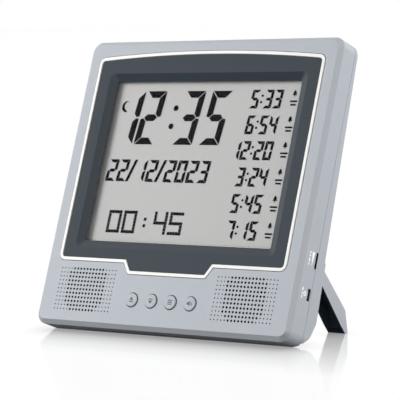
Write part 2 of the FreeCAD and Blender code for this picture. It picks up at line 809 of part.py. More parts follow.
def make_recess(side, sign, inner, roof, far):
    """Space that a folded leg lies in, with a lip that stops the leg when it is swung out."""
    body = new_body("recess_" + side)
    stop = "(knuckle_radius + fit_gap)"
    lip_height = "(pivot_height + %s * sin(leg_open_angle))" % stop
    lip_depth = "(pivot_depth + %s * cos(leg_open_angle))" % stop
    fall = "cos(leg_open_angle) / sin(leg_open_angle)"
    outline = [("recess_floor_depth", "%s - 8" % sole_edge),
               ("recess_floor_depth", roof),
               ("%s - (%s - %s) / (%s)" % (lip_depth, roof, lip_height, fall), roof),
               (far, "%s - (%s - %s) * %s" % (lip_height, far, lip_depth, fall)),
               (far, "%s - 8" % sole_edge)]
    middle = "%s %s" % (sign, leg_middle)
    sketch = new_sketch(body, "outline", "YZ_Plane", middle)
    add_outline(sketch, outline)
    add_feature(body, "Pad", "space", sketch, Length="leg_width + 2 * fit_gap", SideType="Symmetric")
    return body


# The battery door's own frame: its lower edge on the back face, its outside flush with that face
door_half = "(bay_half_width + door_margin)"
door_bottom = "(%s - door_margin)" % bay_bottom
door_length = "(%s - %s + 2 * door_margin)" % (bay_top, bay_bottom)


def door_place():
    turn = FreeCAD.Rotation(FreeCAD.Vector(1, 0, 0), value(rear_angle))
    return at("0", rear_face_at(door_bottom), door_bottom, turn)


def door_pegs(name, radius, reach):
    """A bar through the door along its hinge line, longer than the door by a reach at both ends."""
    half = "(%s + %s)" % (door_half, reach)
    return round_bar(name, "-" + half, "-door_thickness / 2", "door_thickness / 2", radius, "2 * " + half, "across")


def make_battery_door():
    body = new_body("battery_door")
    pad_back(body, "plate", lambda s: add_rectangle(s, "-" + door_half, door_half, "0", door_length),
             "-door_thickness", "door_thickness")
    top_corners = [(door_half, door_length), ("-" + door_half, door_length)]
    round_corners(body, "corners", "door_corner", top_corners)

    def grips(sketch):
        for number in range(int(value("door_grips"))):
            low = "(%s - (%d + 2) * door_grip_pitch)" % (door_length, number)
            add_rectangle(sketch, "-door_latch_half_width", "door_latch_half_width", low, low + " + door_grip_width")
    pocket_back(body, "grips", grips, "-door_grip_depth", "2 * door_grip_depth")
    hinge_edges = edges_where(body, lambda e: abs(e.Length - 2 * value(door_half)) < 1e-3
                              and e.Vertexes[0].Point.z < 1e-3 and e.Vertexes[-1].Point.z < 1e-3)
    soften(body, "hinge_edges", "Fillet", "door_thickness / 3", hinge_edges)
    pegs = [door_pegs("door_peg_bar", "door_peg_radius", "door_peg_reach")]
    return finish(fused("door_and_pegs", [body] + pegs), "battery_door", door_place())


def make_battery():
    cells, plates, springs = [], [], []
    for number, sign in ((0, "1 *"), (1, "-1 *")):
        height = "(cell_height + %d * cell_pitch)" % number
        middle = "(%s cell_shift)" % sign
        start = "%s - cell_length / 2" % middle
        nub = "%s + cell_length / 2" % middle if number == 0 else start + " - cell_nub"
        can = many_sided("cell_can_%d" % number, start, "cell_depth", height, "cell_radius", "cell_length", 24,
                         rightward)
        tip = many_sided("cell_tip_%d" % number, nub, "cell_depth", height, "cell_nub_radius", "cell_nub", 12,
                         rightward)
        cells.append(fused("cell_%d" % number, [can, tip]))

        for side, wall in (("plus", "bay_half_width"), ("minus", "-bay_half_width + contact_thickness")):
            plates.append(plain_box("contact_%s_%d" % (side, number), "%s - contact_thickness" % wall, wall,
                                    "cell_depth - contact_half_width", "cell_depth + contact_half_width",
                                    height + " - contact_half_width", height + " + contact_half_width"))
        boss_start = "bay_half_width - contact_thickness - contact_boss"
        if number:
            boss_start = "-bay_half_width + contact_thickness"
        plates.append(many_sided("contact_boss_%d" % number, boss_start, "cell_depth", height, "cell_nub_radius",
                                 "contact_boss", 8, rightward))
        gap = "(bay_half_width - contact_thickness - cell_length / 2 + cell_shift - slack)"
        base = "%s (-bay_half_width + contact_thickness)" % sign
        way = leftward if number else rightward
        coils = [many_sided("coil_%d_%d" % (number, part), base, "cell_depth", height, radius, length, 8, way)
                 for part, (radius, length) in enumerate((("spring_base", gap + " / 2"), ("spring_tip", gap)))]
        springs.append(fused("spring_%d" % number, coils))
    for name, pieces in (("battery_cells", cells), ("battery_contacts", plates), ("battery_springs", springs)):
        group = doc.addObject("Part::Compound", name + "_group")
        group.Links = pieces
        finish(group, name)


# Trim, fascia, lens and display stack

def make_trim():
    body = new_body("trim_frame")
    pad_back(body, "strip", lambda s: fascia_outline(s, "trim_width"), "-trim_proud", "seat_depth + trim_proud - 0.05")
    round_corners(body, "outer_corners", "fascia_corner + trim_width", fascia_corners("trim_width"))
    pocket_back(body, "inside", lambda s: fascia_outline(s, "0"), "-trim_proud - 1", "seat_depth + trim_proud + 2")
    round_corners(body, "inner_corners", "fascia_corner", fascia_corners("0"))
    front = -value("trim_proud")
    rim = edges_where(body, lambda e: all(abs(v.Point.y - front) < 1e-4 for v in e.Vertexes))
    soften(body, "edge", "Chamfer", "trim_chamfer", rim)
    return finish(body, "trim_frame")


def make_fascia():
    body = new_body("fascia_bezel")
    inset = "(-seat_gap)"
    pad_back(body, "plate", lambda s: fascia_outline(s, inset), "fascia_inset", "seat_depth - fascia_inset - 0.05")
    round_corners(body, "corners", "fascia_corner - seat_gap", fascia_corners(inset))
    side = "(frame_half_width + rim_width)"
    low, high = "frame_bottom - rim_width", "frame_top + rim_width"
    pad_back(body, "rim", lambda s: add_rectangle(s, "-" + side, side, low, high),
             "seat_depth - 0.3", "window_depth - seat_depth + 0.3")
    wide = new_sketch(body, "wide_sketch", "XZ_Plane", "-fascia_inset")
    add_rounded_rectangle(wide, "-frame_half_width", "frame_half_width", "frame_bottom", "frame_top", "frame_corner")
    tight = new_sketch(body, "tight_sketch", "XZ_Plane", "-window_depth")
    add_rounded_rectangle(tight, "-window_half_width", "window_half_width", "window_bottom", "window_top",
                          "window_corner")
    bevel = body.newObject("PartDesign::SubtractiveLoft", "fascia_bevel")
    bevel.Profile = wide
    bevel.Sections = [tight]
    bevel.Ruled = True
    doc.recompute()
    return finish(body, "fascia_bezel")


def make_display():
    lens = plain_box("lens", "-lens_half_width", "lens_half_width", lens_front, "%s + lens_thickness" % lens_front,
                     "lens_bottom", "lens_top")
    finish(lens, "display_window")
    front_glass = plain_box("front_glass", "-glass_half_width", "glass_half_width", glass_front,
                            "%s + glass_thickness" % glass_front, "glass_bottom", "glass_top")
    rear_glass = plain_box("rear_glass", "-glass_half_width", "glass_half_width",
                           "%s + glass_thickness" % glass_front, glass_rear,
                           "glass_bottom + contact_ledge", "glass_top")
    finish(fused("glass", [front_glass, rear_glass]), "lcd_panel")
    reflector = plain_box("reflector", "-glass_half_width + 1", "glass_half_width - 1", "%s + 0.05" % glass_rear,
                          "%s + 0.05 + reflector_thickness" % glass_rear, "glass_bottom + contact_ledge + 1",
                          "glass_top - 1")
    finish(reflector, "lcd_reflector")

    body = new_body("display_tray")
    pad_back(body, "block",
             lambda s: add_rectangle(s, "-tray_half_width", "tray_half_width", "tray_bottom", "tray_top"),
             tray_front, "%s - %s" % (tray_rear, tray_front))
    pocket_back(body, "well",
                lambda s: add_rectangle(s, "-glass_half_width - fit_gap", "glass_half_width + fit_gap",
                                        "glass_bottom - fit_gap", "glass_top + fit_gap"),
                "%s - 1" % tray_front, "%s - %s + 1" % (tray_floor, tray_front))
    pocket_back(body, "strip_slot",
                lambda s: add_rectangle(s, "-strip_half_length - sink", "strip_half_length + sink",
                                        "glass_bottom + 0.7", "glass_bottom + 1.1 + strip_width"),
                "%s - 1" % tray_floor, "tray_back + 3")

    def posts(radius):
        def draw(sketch):
            for _, sign in sides:
                for height in ("tray_post_low", "tray_post_high"):
                    add_polygon(sketch, sign + "tray_post_across", height, radius)
        return draw
    pad_back(body, "posts", posts("post_radius"), "%s - sink" % tray_rear, "board_gap + 0.15")
    pocket_back(body, "post_pilots", posts("small_screw_radius"), "%s - 1" % tray_floor, "tray_back + board_gap + 2")

    def lightening(sketch):
        for column in (-2, -1, 0, 1):
            left = "((%d + 0.5) * (tray_window_width + tray_window_bar) - tray_window_width / 2)" % column
            for row in (0, 1):
                bottom = "(tray_window_low + %d * (tray_window_height + tray_window_bar))" % row
                add_rectangle(sketch, left, left + " + tray_window_width", bottom, bottom + " + tray_window_height")
    pocket_back(body, "windows", lightening, "%s - 1" % tray_floor, "tray_back + 3")
    finish(body, "display_tray")

    strip = plain_box("strip", "-strip_half_length", "strip_half_length", "%s - glass_thickness + 0.05" % glass_rear,
                      "%s - 0.05" % board_front, "glass_bottom + 0.9", "glass_bottom + 0.9 + strip_width")
    finish(strip, "lcd_connector")


# Circuit boards and what is soldered to them

def make_boards():
    plate = plain_box("main_plate", "-main_board_half_width", "main_board_half_width", board_front,
                      "%s + board_thickness" % board_front, "glass_bottom - 1", "main_board_top")
    holes = [many_sided("main_hole_%d" % number, sign + "tray_post_across", "%s - 1" % board_front, height,
                        "board_hole_radius", "board_thickness + 2", 8)
             for number, (sign, height) in enumerate((sign, height) for _, sign in sides
                                                     for height in ("tray_post_low", "tray_post_high"))]
    finish(cut_from("main_cut", plate, fused("main_holes", holes)), "main_board")

    back = "(%s + board_thickness)" % board_front
    chips = [plain_box("main_chip_body", "-main_chip / 2", "main_chip / 2", back, back + " + main_chip_height",
                       "chip_row - main_chip / 2", "chip_row + main_chip / 2"),
             plain_box("memory_chip", "2 * main_chip", "2 * main_chip + small_chip", back,
                       back + " + small_chip_height", "chip_row - small_chip / 2", "chip_row + small_chip / 2"),
             plain_box("crystal_can", "-1.5 * main_chip", "-main_chip", back, back + " + crystal_height",
                       "chip_row - small_chip / 4", "chip_row + small_chip / 4")]
    for number in (1, 2):
        chips.append(many_sided("capacitor_%d" % number, "-(2 + 0.6 * %d) * main_chip" % number, back, "chip_row",
                                "capacitor_radius", "capacitor_height"))
    group = doc.addObject("Part::Compound", "chips")
    group.Links = chips
    finish(group, "board_components")

    board_back = "(%s + board_thickness)" % switch_rear
    small = plain_box("button_plate", "-button_board_half_width", "button_board_half_width", switch_rear, board_back,
                      "button_board_bottom", "button_board_top")
    hole_spots = [(sign + "(button_board_half_width - board_hole_inset)") for _, sign in sides]
    holes = [many_sided("button_hole_%d" % number, across, "%s - 1" % switch_rear,
                        "(button_board_bottom + board_hole_inset)", "board_hole_radius", "board_thickness + 2", 8)
             for number, across in enumerate(hole_spots)]
    finish(cut_from("button_cut", small, fused("button_holes", holes)), "button_board")

    side = plain_box("side_plate", "side_board_inner", "side_board_outer", "side_board_face", pot_front,
                     "side_board_bottom", "side_board_top")
    holes = [many_sided("side_hole_%d" % number, "side_post_across", "side_board_face - 1", height,
                        "board_hole_radius", "side_board_thickness + 2", 8)
             for number, height in enumerate(("side_post_low", "side_post_high"))]
    finish(cut_from("side_cut", side, fused("side_holes", holes)), "side_board")


def make_buttons():
    switches = []
    for name, across in zip(button_names, button_spots):
        flange_front = "(grille_wall + sink)"
        flange_rear = "(%s + button_flange_thickness)" % flange_front

        def spot_of(depth):
            return across, depth, "button_height"

        top = tapered(name + "_top", *spot_of("-button_proud"), ("button_radius - button_edge", "button_radius"),
                      "button_edge", 16)
        barrel = many_sided(name + "_barrel", *spot_of("button_edge - button_proud"), "button_radius",
                            "%s + button_proud - button_edge" % flange_front, 16)
        flange = many_sided(name + "_flange", *spot_of(flange_front), "button_flange", "button_flange_thickness", 16)
        stem = many_sided(name + "_stem", *spot_of(flange_rear), "button_stem", "%s - %s" % (cap_foot, flange_rear), 8)
        finish(fused(name + "_cap", [top, barrel, flange, stem]), "button_%s_cap" % name)
        plunger = many_sided(name + "_plunger", *spot_of(cap_foot), "plunger_radius", "plunger_length", 8)
        finish(plunger, "button_%s_plunger" % name)
        block = plain_box("switch_" + name, "%s - switch_size / 2" % across, "%s + switch_size / 2" % across,
                          switch_face, switch_rear, "button_height - switch_size / 2",
                          "button_height + switch_size / 2")
        well = many_sided("switch_well_" + name, *spot_of("%s - 1" % switch_face), "plunger_radius + switch_gap",
                          "1 + switch_thickness - switch_floor", 8)
        switches.append(cut_from("switch_cut_" + name, block, well))
    group = doc.addObject("Part::Compound", "switches")
    group.Links = switches
    finish(group, "tact_switches")


# Loudspeakers behind the grilles

def make_speakers():
    front = "(grille_wall + cloth_thickness + slack)"
    opening = "(speaker_radius - speaker_rim_width)"
    floor = "(basket_depth - basket_plate)"
    cone_radii = ("(%s - 0.3)" % opening, "((%s - 0.3 + cone_foot) / 2)" % opening, "cone_foot")
    for side, sign in sides:
        def ring(name, depth, radius, length, corners=12):
            return many_sided("%s_%s" % (name, side), sign + "speaker_across", "%s + %s" % (front, depth),
                              "speaker_height", radius, length, corners)

        cloth = many_sided("cloth_" + side, sign + "speaker_across", "grille_wall + 0.05", "speaker_height",
                           "speaker_radius", "cloth_thickness", 24)
        finish(cloth, "speaker_cloth_" + side)

        basket = [ring("rim", "0", "speaker_radius", "speaker_rim", 24),
                  ring("shoulder", "0", "(%s + basket_wall)" % opening, "basket_shoulder"),
                  ring("waist", "speaker_rim", "(basket_waist + basket_wall)", "basket_depth - speaker_rim")]
        space = [ring("mouth", "-1", opening, "1 + basket_shoulder - basket_plate"),
                 ring("throat", "0", "basket_waist", floor),
                 ring("coil_hole", "0", "coil_radius", "basket_depth + 1")]
        finish(cut_from("basket_cut_" + side, fused("basket_" + side, basket), fused("basket_space_" + side, space)),
               "speaker_frame_" + side)

        steps, spaces = [], []
        for number, radius in enumerate(cone_radii):
            start = "(cone_start + %d * (cone_step - cone_thickness))" % number
            steps.append(ring("cone_%d" % number, start, radius, "cone_step"))
            if number < 2:
                spaces.append(ring("cone_space_%d" % number, "-1", radius + " - cone_thickness",
                                   "1 + %s + cone_step - cone_thickness" % start))
        finish(cut_from("cone_cut_" + side, fused("cone_steps_" + side, steps), fused("cone_spaces_" + side, spaces)),
               "speaker_cone_" + side)

        magnet = ring("magnet", "basket_depth + 0.05", "magnet_radius", "magnet_length", 24)
        finish(magnet, "speaker_magnet_" + side)


# Volume wheel with its control, and the power inlet

def make_side_controls():
    body = new_body("volume_wheel")
    pad_back(body, "disc", lambda s: add_circle(s, "0", "0", "wheel_radius"), "0", "wheel_thickness")
    groove = [("wheel_radius - wheel_notch", "0"), ("wheel_radius + slack", "-wheel_notch_half_width"),
              ("wheel_radius + slack", "wheel_notch_half_width")]
    notch = pocket_back(body, "notch", lambda s: add_outline(s, groove), "-1", "wheel_thickness + 2")
    ring = body.newObject("PartDesign::PolarPattern", "wheel_ring")
    ring.Originals = [notch]
    ring.Axis = (notch.Profile[0], ["N_Axis"])
    ring.Angle = 360
    ring.setExpression("Occurrences", bound("wheel_notches"))
    body.Tip = ring
    doc.recompute()
    pocket_back(body, "bore", lambda s: add_circle(s, "0", "0", "wheel_hub_bore"), "-1", "wheel_thickness + 2")
    finish(body, "volume_wheel", at(wheel_across, wheel_front, "wheel_height"))

    case = many_sided("pot_case", wheel_across, pot_front, "wheel_height", "pot_radius",
                      "%s - %s - sink" % (wheel_front, pot_front))
    shaft = round_bar("pot_shaft_bar", wheel_across, pot_front, "wheel_height", "pot_shaft",
                      "%s - %s + wheel_thickness" % (wheel_front, pot_front))
    finish(fused("pot", [case, shaft]), "volume_control")

    low, high = "(inlet_height - inlet_length / 2)", "(inlet_height + inlet_length / 2)"
    front, back = "(%s + side_shift)" % pot_front, "(%s + side_shift + inlet_thickness)" % pot_front
    outer_x = "(%s - 0.4)" % half_width
    shell = plain_box("inlet_block", outer_x + " - inlet_reach", outer_x, front, back, low, high)
    inside = plain_box("inlet_space", outer_x + " - inlet_reach + 0.6", outer_x + " + 1", front + " + inlet_shell",
                       back + " - inlet_shell", low + " + inlet_shell", high + " - inlet_shell")
    foot = plain_box("inlet_foot", outer_x + " - inlet_reach", "side_board_outer - 0.5", pot_front, front + " + slack",
                     low + " + 1", high + " - 1")
    finish(fused("inlet", [cut_from("inlet_cut", shell, inside), foot]), "power_inlet")
    tongue = plain_box("tongue", outer_x + " - inlet_reach + 0.65", outer_x + " - 0.8",
                       "(%s + %s) / 2 - 0.35" % (front, back), "(%s + %s) / 2 + 0.35" % (front, back),
                       low + " + 1.5", high + " - 1.5")
    finish(tongue, "inlet_tongue")


# Folding legs: a bent channel, open on its inner side, on a steel pin

def make_legs():
    back_foot = "(-foot_back)"
    lift = "(leg_open_angle - %s)" % lean
    toe = "(-foot_back - foot_flat * cos(%s))" % lift
    toe_down = "(-leg_length + foot_flat * sin(%s))" % lift
    outline = [("knuckle_radius", "0"), ("-knuckle_radius", "0"), ("-knuckle_radius", "-3"),
               ("-leg_neck_back", "-leg_neck"), ("-leg_heel_back", "-leg_heel"), (toe, toe_down),
               (back_foot, "-leg_length"), ("knuckle_radius", "-leg_bend")]
    hollow = [("knuckle_radius - leg_wall", "-leg_neck + 2.5"), ("knuckle_radius - leg_wall", "-leg_bend + 0.4"),
              ("-foot_back + 0.5", "-leg_length + 3.3"), ("-leg_heel_back - 3", "-leg_length + 4.6"),
              ("-leg_heel_back - 3", "-leg_neck + 2.5")]
    swing = FreeCAD.Rotation(FreeCAD.Vector(1, 0, 0), value("leg_open_angle"))
    for side, sign in sides:
        body = new_body("leg_" + side)
        sketch = new_sketch(body, "outline", "YZ_Plane")
        add_outline(sketch, outline)
        add_feature(body, "Pad", "bar", sketch, Length="leg_width", SideType="Symmetric")
        sketch = new_sketch(body, "knuckle_sketch", "YZ_Plane")
        add_circle(sketch, "0", "0", "knuckle_radius")
        add_feature(body, "Pad", "knuckle", sketch, Length="leg_width", SideType="Symmetric")
        cut_across(body, "channel", lambda s: add_outline(s, hollow), "leg_width - 2 * leg_wall")
        cut_across(body, "pin_bore", lambda s: add_circle(s, "0", "0", "pin_radius + 0.01"), "leg_width + 2")
        place = at("%s %s" % (sign, leg_middle), "pivot_depth", "pivot_height", swing)
        finish(body, "leg_" + side, place)
        start = "leg_outer_face - leg_width - pin_reach"
        if side == "left":
            start = "-(leg_outer_face + pin_reach)"
        pin = round_bar("pin_" + side, start, "pivot_depth", "pivot_height", "pin_radius",
                        "leg_width + 2 * pin_reach", "across")
        finish(pin, "leg_pin_" + side)


# Fasteners

def make_screws():
    pieces = []
    for number, (across, height) in enumerate(screw_spots):
        head = many_sided("head_%d" % number, across, "screw_seat_depth", height, "screw_head_radius",
                          "screw_head_height")
        shank = many_sided("shank_%d" % number, across, "screw_seat_depth - screw_length", height,
                           "boss_pilot - thread_gap", "screw_length", 8)
        pieces.append(fused("screw_%d" % number, [head, shank]))
    group = doc.addObject("Part::Compound", "screws")
    group.Links = pieces
    finish(group, "housing_screws")

    pieces = []
    board_back = "(%s + board_thickness)" % board_front
    spots = [(sign + "tray_post_across", board_back, height)
             for _, sign in sides for height in ("tray_post_low", "tray_post_high")]
    button_back = "(%s + board_thickness)" % switch_rear
    spots += [(sign + "(button_board_half_width - board_hole_inset)", button_back,
               "(button_board_bottom + board_hole_inset)") for _, sign in sides]
    spots += [("side_post_across", pot_front, height) for height in ("side_post_low", "side_post_high")]
    for number, (across, depth, height) in enumerate(spots):
        head = many_sided("small_head_%d" % number, across, depth, height, "small_head_radius", "small_head_height", 8)
        shank = many_sided("small_shank_%d" % number, across, "%s - small_screw_length" % depth, height,
                           "small_screw_radius - thread_gap", "small_screw_length", 8)
        pieces.append(fused("small_screw_%d" % number, [head, shank]))
    group = doc.addObject("Part::Compound", "small_screws")
    group.Links = pieces
    finish(group, "board_screws")


make_trim()
make_fascia()
make_display()
make_boards()
make_buttons()
make_speakers()
make_side_controls()
make_legs()
make_battery()
make_battery_door()
make_rear_cover()
make_screws()
make_front_shell()

# Tilt everything back by the lean, then set the origin under the middle of the whole object
tilt = FreeCAD.Rotation(FreeCAD.Vector(1, 0, 0), -value(lean))


def stand_up(shift):
    """Where the whole object would lie after the tilt and a shift."""
    whole = FreeCAD.BoundBox()
    for name in ("rear_cover", "leg_left", "leg_right"):
        piece, place = finished[name]
        shape = piece.Shape.copy()
        shape.Placement = FreeCAD.Placement(shift, tilt) * place
        whole.add(shape.optimalBoundingBox(False))
    shape = doc.getObject("front_shell_body").Shape.copy()
    shape.Placement = FreeCAD.Placement(shift, tilt)
    whole.add(shape.optimalBoundingBox(False))
    return whole


doc.recompute()
box = stand_up(FreeCAD.Vector())
shift = FreeCAD.Vector(-(box.XMin + box.XMax) / 2, -(box.YMin + box.YMax) / 2, -box.ZMin)
for piece, place in finished.values():
    own = place
    if piece.TypeId in ("Part::Box", "Part::Cylinder", "Part::Prism"):
        own = piece.Placement
        for axis_name in "xyz":
            piece.setExpression(".Placement.Base." + axis_name, None)
    piece.Placement = FreeCAD.Placement(shift, tilt) * own
doc.recompute()
box = stand_up(shift)

for item in doc.Objects:
    if "Invalid" in item.State or "Error" in item.State:
        raise RuntimeError("failed: " + item.Name)
for name, (piece, place) in finished.items():
    shape = piece.Shape
    if shape.isNull() or not shape.isValid() or not shape.Solids:
        raise RuntimeError("bad shape: " + name)
    shape.exportStep("parts/%s.step" % name)

print("sub-parts", len(finished), "lean", round(value(lean), 3))
print("box", [round(number, 3) for number in (box.XMin, box.XMax, box.YMin, box.YMax, box.ZMin, box.ZMax)])
print("shift", [round(number, 4) for number in shift])
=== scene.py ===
import json
import math

import bmesh
import bpy
from mathutils import Matrix, Vector


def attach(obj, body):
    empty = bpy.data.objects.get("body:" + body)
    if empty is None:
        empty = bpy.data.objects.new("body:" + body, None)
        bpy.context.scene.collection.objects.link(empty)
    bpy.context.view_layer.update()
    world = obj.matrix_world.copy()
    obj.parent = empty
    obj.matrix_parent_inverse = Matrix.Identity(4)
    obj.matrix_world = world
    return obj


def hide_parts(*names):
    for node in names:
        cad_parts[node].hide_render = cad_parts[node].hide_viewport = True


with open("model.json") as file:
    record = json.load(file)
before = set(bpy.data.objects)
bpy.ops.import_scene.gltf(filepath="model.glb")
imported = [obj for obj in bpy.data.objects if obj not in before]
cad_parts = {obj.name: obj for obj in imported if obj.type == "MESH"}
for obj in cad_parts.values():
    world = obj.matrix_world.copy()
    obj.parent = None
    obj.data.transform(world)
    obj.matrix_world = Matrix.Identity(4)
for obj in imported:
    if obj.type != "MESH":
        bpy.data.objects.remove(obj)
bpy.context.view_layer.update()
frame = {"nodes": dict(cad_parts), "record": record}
nodes = frame["nodes"]
print("frame loaded")

# The housing's own frame, in millimetres: x to the viewer's right along the face, y from the face
# towards the back, z up along the face. tilt takes it to the row frame, in metres.
stance = {"lean": 23.079, "shift": (0.0, -48.4535, 9.4239)}
lean = math.radians(stance["lean"])
tilt = Matrix.Scale(0.001, 4) @ Matrix.Translation(stance["shift"]) @ Matrix.Rotation(-lean, 4, "X")
turnOnly = Matrix.Rotation(-lean, 3, "X")


# points of a path with its corners rounded, each by its own radius
def filleted(points, radii, steps=6, closed=True):
    path = []
    count = len(points)
    for i, point in enumerate(points):
        here, radius = Vector(point), radii[i]
        if radius < 1e-6 or (not closed and i in (0, count - 1)):
            path.append(here)
            continue
        before = (Vector(points[i - 1]) - here).normalized()
        after = (Vector(points[(i + 1) % count]) - here).normalized()
        opening = before.angle(after)
        reach = radius / math.tan(opening / 2)
        centre = here + (before + after).normalized() * (radius / math.sin(opening / 2))
        start, end = here + before * reach - centre, here + after * reach - centre
        sweep = start.angle_signed(end)
        for k in range(steps + 1):
            path.append(centre + Matrix.Rotation(-sweep * k / steps, 2) @ start)
    return path


def rectangle(left, right, bottom, top, radius=0.0, steps=6):
    corners = [(left, bottom), (right, bottom), (right, top), (left, top)]
    return filleted(corners, [radius] * 4, steps)


# a closed loop of edges along an outline of the face, at one depth
def loopOf(shape, outline, y):
    verts = [shape.verts.new((x, y, z)) for x, z in outline]
    return [shape.edges.new((verts[k - 1], verts[k])) for k in range(len(verts))]


def facing(x, y, z):
    return Matrix.Translation((x, y, z)) @ Matrix.Rotation(math.pi / 2, 4, "X")


def roundLoop(shape, x, z, radius, y, count=48):
    verts = bmesh.ops.create_circle(shape, segments=count, radius=radius, matrix=facing(x, y, z))["verts"]
    return [shape.edges.get((verts[k - 1], verts[k])) for k in range(count)]


# walls between loops that follow one another
def joinLoops(shape, loops):
    for one, other in zip(loops, loops[1:]):
        bmesh.ops.bridge_loops(shape, edges=one + other)


# a profile of (inset, depth) points carried round an outline that depends on the inset
def carried(shape, profile, outlineAt, closed=False):
    loops = [loopOf(shape, outlineAt(inset), level) for level, (inset, y) in enumerate(profile)]
    joinLoops(shape, loops + loops[:1] if closed else loops)
    for loop, (inset, y) in zip(loops, profile):  # bridged a step apart, because loops in one plane can twist
        for edge in loop:
            for vert in edge.verts:
                vert.co.y = y
    return loops


# a wall that follows one outline from depth to depth
def straightWall(shape, outline, depths):
    loops = [loopOf(shape, outline, y) for y in depths]
    joinLoops(shape, loops)
    return loops


# a flat face inside the first loop, with the other loops as holes in it
def fillBetween(shape, loops):
    edges = [edge for loop in loops for edge in loop]
    bmesh.ops.triangle_fill(shape, edges=edges, use_beauty=True, normal=(0, -1, 0))


def openEdges(shape, y):
    return [edge for edge in shape.edges
            if len(edge.link_faces) == 1 and all(abs(vert.co.y - y) < 1e-4 for vert in edge.verts)]


# a piece turned about the depth axis from a profile of (radius, depth) points
def turned(profile, count=72, closed=False):
    shape = bmesh.new()
    verts = [shape.verts.new((radius, y, 0)) for radius, y in profile]
    edges = [shape.edges.new(pair) for pair in zip(verts, verts[1:])]
    if closed:
        edges.append(shape.edges.new((verts[-1], verts[0])))
    bmesh.ops.spin(shape, geom=verts + edges, cent=(0, 0, 0), axis=(0, 1, 0), angle=2 * math.pi, steps=count,
                   use_merge=True)
    return shape


def asMesh(name, shape):
    mesh = bpy.data.meshes.new(name)
    shape.to_mesh(mesh)
    shape.free()
    return mesh


def linked(name, data):
    item = bpy.data.objects.new(name, data)
    bpy.context.scene.collection.objects.link(item)
    return item


def addCopy(shape, mesh, place):
    first = len(shape.verts)
    shape.from_mesh(mesh)
    bmesh.ops.transform(shape, matrix=place, verts=shape.verts[first:])


# shaded smooth but for its sharp edges, and given its finishes and its body
def settled(name, shape, finish, body, smooth):
    for face in shape.faces:
        face.smooth = True
    for edge in shape.edges:
        bend = edge.calc_face_angle(0) if len(edge.link_faces) == 2 else 0
        edge.smooth = bend < math.radians(smooth)
    mesh = asMesh(name, shape)
    for one in (finish if isinstance(finish, list) else [finish]):
        mesh.materials.append(one)
    piece = linked(name, mesh)
    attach(piece, body)
    return piece


# a new piece, taken from the housing's frame to the row frame
def newPiece(name, shape, finish, body="housing", smooth=35, place=None):
    bmesh.ops.remove_doubles(shape, verts=shape.verts, dist=1e-5)
    bmesh.ops.recalc_face_normals(shape, faces=shape.faces)
    if place:
        shape.transform(place)
    shape.transform(tilt)
    return settled(name, shape, finish, body, smooth)


# keeps flat faces flat in the shading beside their rounded edges
def weighted(piece):
    modifier = piece.modifiers.new("weightedNormals", "WEIGHTED_NORMAL")
    modifier.keep_sharp = True
    modifier.weight = 100
    return piece


# a merged copy of a CAD piece
def copied(node):
    shape = bmesh.new()
    shape.from_mesh(nodes[node].data)
    bmesh.ops.remove_doubles(shape, verts=shape.verts, dist=2e-6)
    return shape


# a copy of a CAD piece with its sharp edges rounded; width is in millimetres, angle in degrees
def softened(name, node, finish, body, width=0.3, segments=2, angle=28, smooth=30):
    shape = copied(node)
    bmesh.ops.dissolve_limit(shape, angle_limit=math.radians(0.6), verts=shape.verts, edges=shape.edges)
    sharp = [edge for edge in shape.edges
             if len(edge.link_faces) == 2 and edge.calc_face_angle(0) > math.radians(angle)]
    bmesh.ops.bevel(shape, geom=sharp, offset=width / 1000, offset_type="OFFSET", segments=segments, profile=0.5,
                    affect="EDGES", clamp_overlap=True, material=-1)
    piece = settled(name, shape, finish, body, smooth)
    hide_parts(node)
    return weighted(piece)


# a shader node with its properties, its unlinked sockets and its incoming links set
def addNode(tree, kind, links=(), **values):
    node = tree.nodes.new("ShaderNode" + kind)
    for key, amount in values.items():
        if hasattr(node, key):
            setattr(node, key, amount)
        else:
            node.inputs[key.replace("_", " ")].default_value = amount
    for source, target in links:
        tree.links.new(source, node.inputs[target])
    return node


# a paint, plastic or metal with a fine grain in its colour, roughness and relief (in mm)
def newMaterial(name, colour, roughness, metallic=0.0, grain=2500, relief=0.004, vary=0.05, stretch=(1, 1, 1),
                specular=0.5):
    material = bpy.data.materials.new(name)
    material.use_nodes = True
    material.diffuse_color = (*colour, 1)
    tree = material.node_tree
    shader = tree.nodes["Principled BSDF"]
    shader.inputs["Metallic"].default_value = metallic
    shader.inputs["Specular IOR Level"].default_value = specular
    where = addNode(tree, "TexCoord")
    scaled = addNode(tree, "Mapping", [(where.outputs["Object"], "Vector")], Scale=stretch)
    fine = addNode(tree, "TexNoise", [(scaled.outputs["Vector"], "Vector")], Scale=grain, Detail=3.0)
    broad = addNode(tree, "TexNoise", [(scaled.outputs["Vector"], "Vector")], Scale=grain / 40, Detail=4.0)
    tone = addNode(tree, "ValToRGB", [(fine.outputs["Fac"], "Fac")])
    ramp = tone.color_ramp.elements
    ramp[0].position, ramp[1].position = 0.3, 0.7
    ramp[0].color = (*[c * (1 - vary) for c in colour], 1)
    ramp[1].color = (*[min(c * (1 + vary), 1) for c in colour], 1)
    wear = addNode(tree, "MapRange", [(broad.outputs["Fac"], "Value")], To_Min=roughness - 0.06,
                   To_Max=roughness + 0.06)
    bump = addNode(tree, "Bump", [(fine.outputs["Fac"], "Height")], Strength=0.6, Distance=relief / 1000)
    tree.links.new(tone.outputs["Color"], shader.inputs["Base Color"])
    tree.links.new(wear.outputs["Result"], shader.inputs["Roughness"])
    tree.links.new(bump.outputs["Normal"], shader.inputs["Normal"])
    return material


